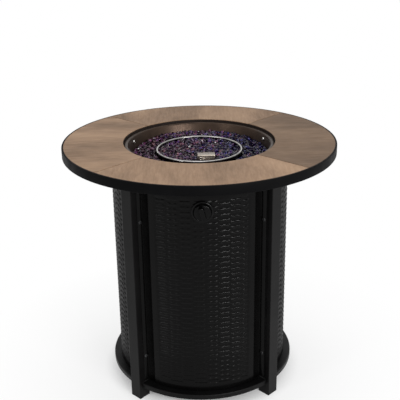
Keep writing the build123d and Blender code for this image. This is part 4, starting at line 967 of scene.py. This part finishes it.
# Studio: a white floor and a white backdrop, which light the object less from the camera's side.
# A broad soft light hangs above, a small one stands front left and a wide strip front right. The
# camera stands as the photograph's did.
floor_half = 9
floor_fade = (-0.9, -0.5)
floor_greys = ((0.0, (0.1, 0.1, 0.1, 1)), (1.0, (0.93, 0.93, 0.93, 1)))
paper_share = ((0.22, (0.03, 0.03, 0.03, 1)), (0.3, (0.72, 0.72, 0.72, 1)), (0.75, (1, 1, 1, 1)))
backdrop_fade = (-0.15, 0.35)
room_level = 0.16
lamps = (
    ("overhead", (0.0, 0.4, 3.0), 1.8, 1.8, 19, (0, 0, 0.5)),
    ("left_front", (-2.3, -1.9, 2.1), 0.6, 0.6, 18, (0, 0, 0.4)),
    ("right_front", (1.55, -2.65, 1.34), 1.5, 0.34, 74, (0, 0, 0.45)),
)
photo_width = 400
photo_focal = 767.54
sensor_width = 36
camera_spot = (-0.0434, -2.0616, 1.331)
yaw, pitch, roll = math.radians(1.2), 0.3712, -0.0156


def highest(nodes, links, value, *others):
    """The highest of some outputs of nodes."""
    for other in others:
        value = combined(nodes, links, "MAXIMUM", value, other)
    return value


floor_corners = [(x * floor_half, y * floor_half, 0) for x, y in ((-1, -1), (1, -1), (1, 1), (-1, 1))]
floor_data = bpy.data.meshes.new("studio_floor")
floor_data.from_pydata(floor_corners, [], [(0, 1, 2, 3)])
studio_floor = bpy.data.objects.new("studio_floor", floor_data)
bpy.context.scene.collection.objects.link(studio_floor)
white, nodes, links, shader, place = new_finish("studio_white")
rays = nodes.new("ShaderNodeLightPath").outputs
near = rescale(nodes, links, axis_value(nodes, links, place, "Y"), *floor_fade)
floor_shown = highest(nodes, links, near, rays["Is Camera Ray"])
links.new(tint(nodes, links, floor_shown, floor_greys), shader.inputs["Base Color"])
shader.inputs["Roughness"].default_value = 0.9
paper = nodes.new("ShaderNodeEmission")
seen = highest(nodes, links, rays["Is Camera Ray"], rays["Is Transmission Ray"], rays["Is Glossy Ray"])
white_share = tint(nodes, links, distance(nodes, links, place, (1, 1, 0)), paper_share)
blend = nodes.new("ShaderNodeMixShader")
links.new(combined(nodes, links, "MULTIPLY", white_share, seen), blend.inputs[0])
links.new(shader.outputs["BSDF"], blend.inputs[1])
links.new(paper.outputs["Emission"], blend.inputs[2])
links.new(blend.outputs["Shader"], nodes["Material Output"].inputs["Surface"])
floor_data.materials.append(white)
world = bpy.data.worlds.new("studio")
world.use_nodes = True
bpy.context.scene.world = world
nodes, links = world.node_tree.nodes, world.node_tree.links
look = nodes.new("ShaderNodeTexCoord")
behind = rescale(nodes, links, axis_value(nodes, links, look.outputs["Generated"], "Y"), *backdrop_fade)
rays = nodes.new("ShaderNodeLightPath").outputs
shown = highest(
    nodes, links, behind, rays["Is Camera Ray"], rays["Is Transmission Ray"], rays["Is Glossy Ray"],
)
backdrop = nodes["Background"].inputs
backdrop["Color"].default_value = (1, 1, 1, 1)
links.new(rescale(nodes, links, shown, 0, 1, room_level, 1), backdrop["Strength"])
for name, spot, width, height, watts, aim in lamps:
    lamp_data = bpy.data.lights.new(name, "AREA")
    lamp_data.energy = watts
    lamp_data.shape = "RECTANGLE"
    lamp_data.size = width
    lamp_data.size_y = height
    lamp = bpy.data.objects.new(name, lamp_data)
    lamp.location = spot
    lamp.rotation_euler = (Vector(aim) - Vector(spot)).to_track_quat("-Z", "Y").to_euler()
    bpy.context.scene.collection.objects.link(lamp)
forward = Vector((math.sin(yaw) * math.cos(pitch), math.cos(yaw) * math.cos(pitch), -math.sin(pitch)))
level_right = Vector((math.cos(yaw), -math.sin(yaw), 0))
level_up = level_right.cross(forward)
right_way = level_right * math.cos(roll) + level_up * math.sin(roll)
up_way = level_up * math.cos(roll) - level_right * math.sin(roll)
camera_data = bpy.data.cameras.new("photo_camera")
camera_data.sensor_width = sensor_width
camera_data.lens = photo_focal * sensor_width / photo_width
camera = bpy.data.objects.new("photo_camera", camera_data)
turn = Matrix((right_way, up_way, -forward)).transposed().to_4x4()
camera.matrix_world = Matrix.Translation(camera_spot) @ turn
bpy.context.scene.collection.objects.link(camera)
bpy.context.scene.camera = camera
bpy.context.scene.view_settings.view_transform = "Standard"
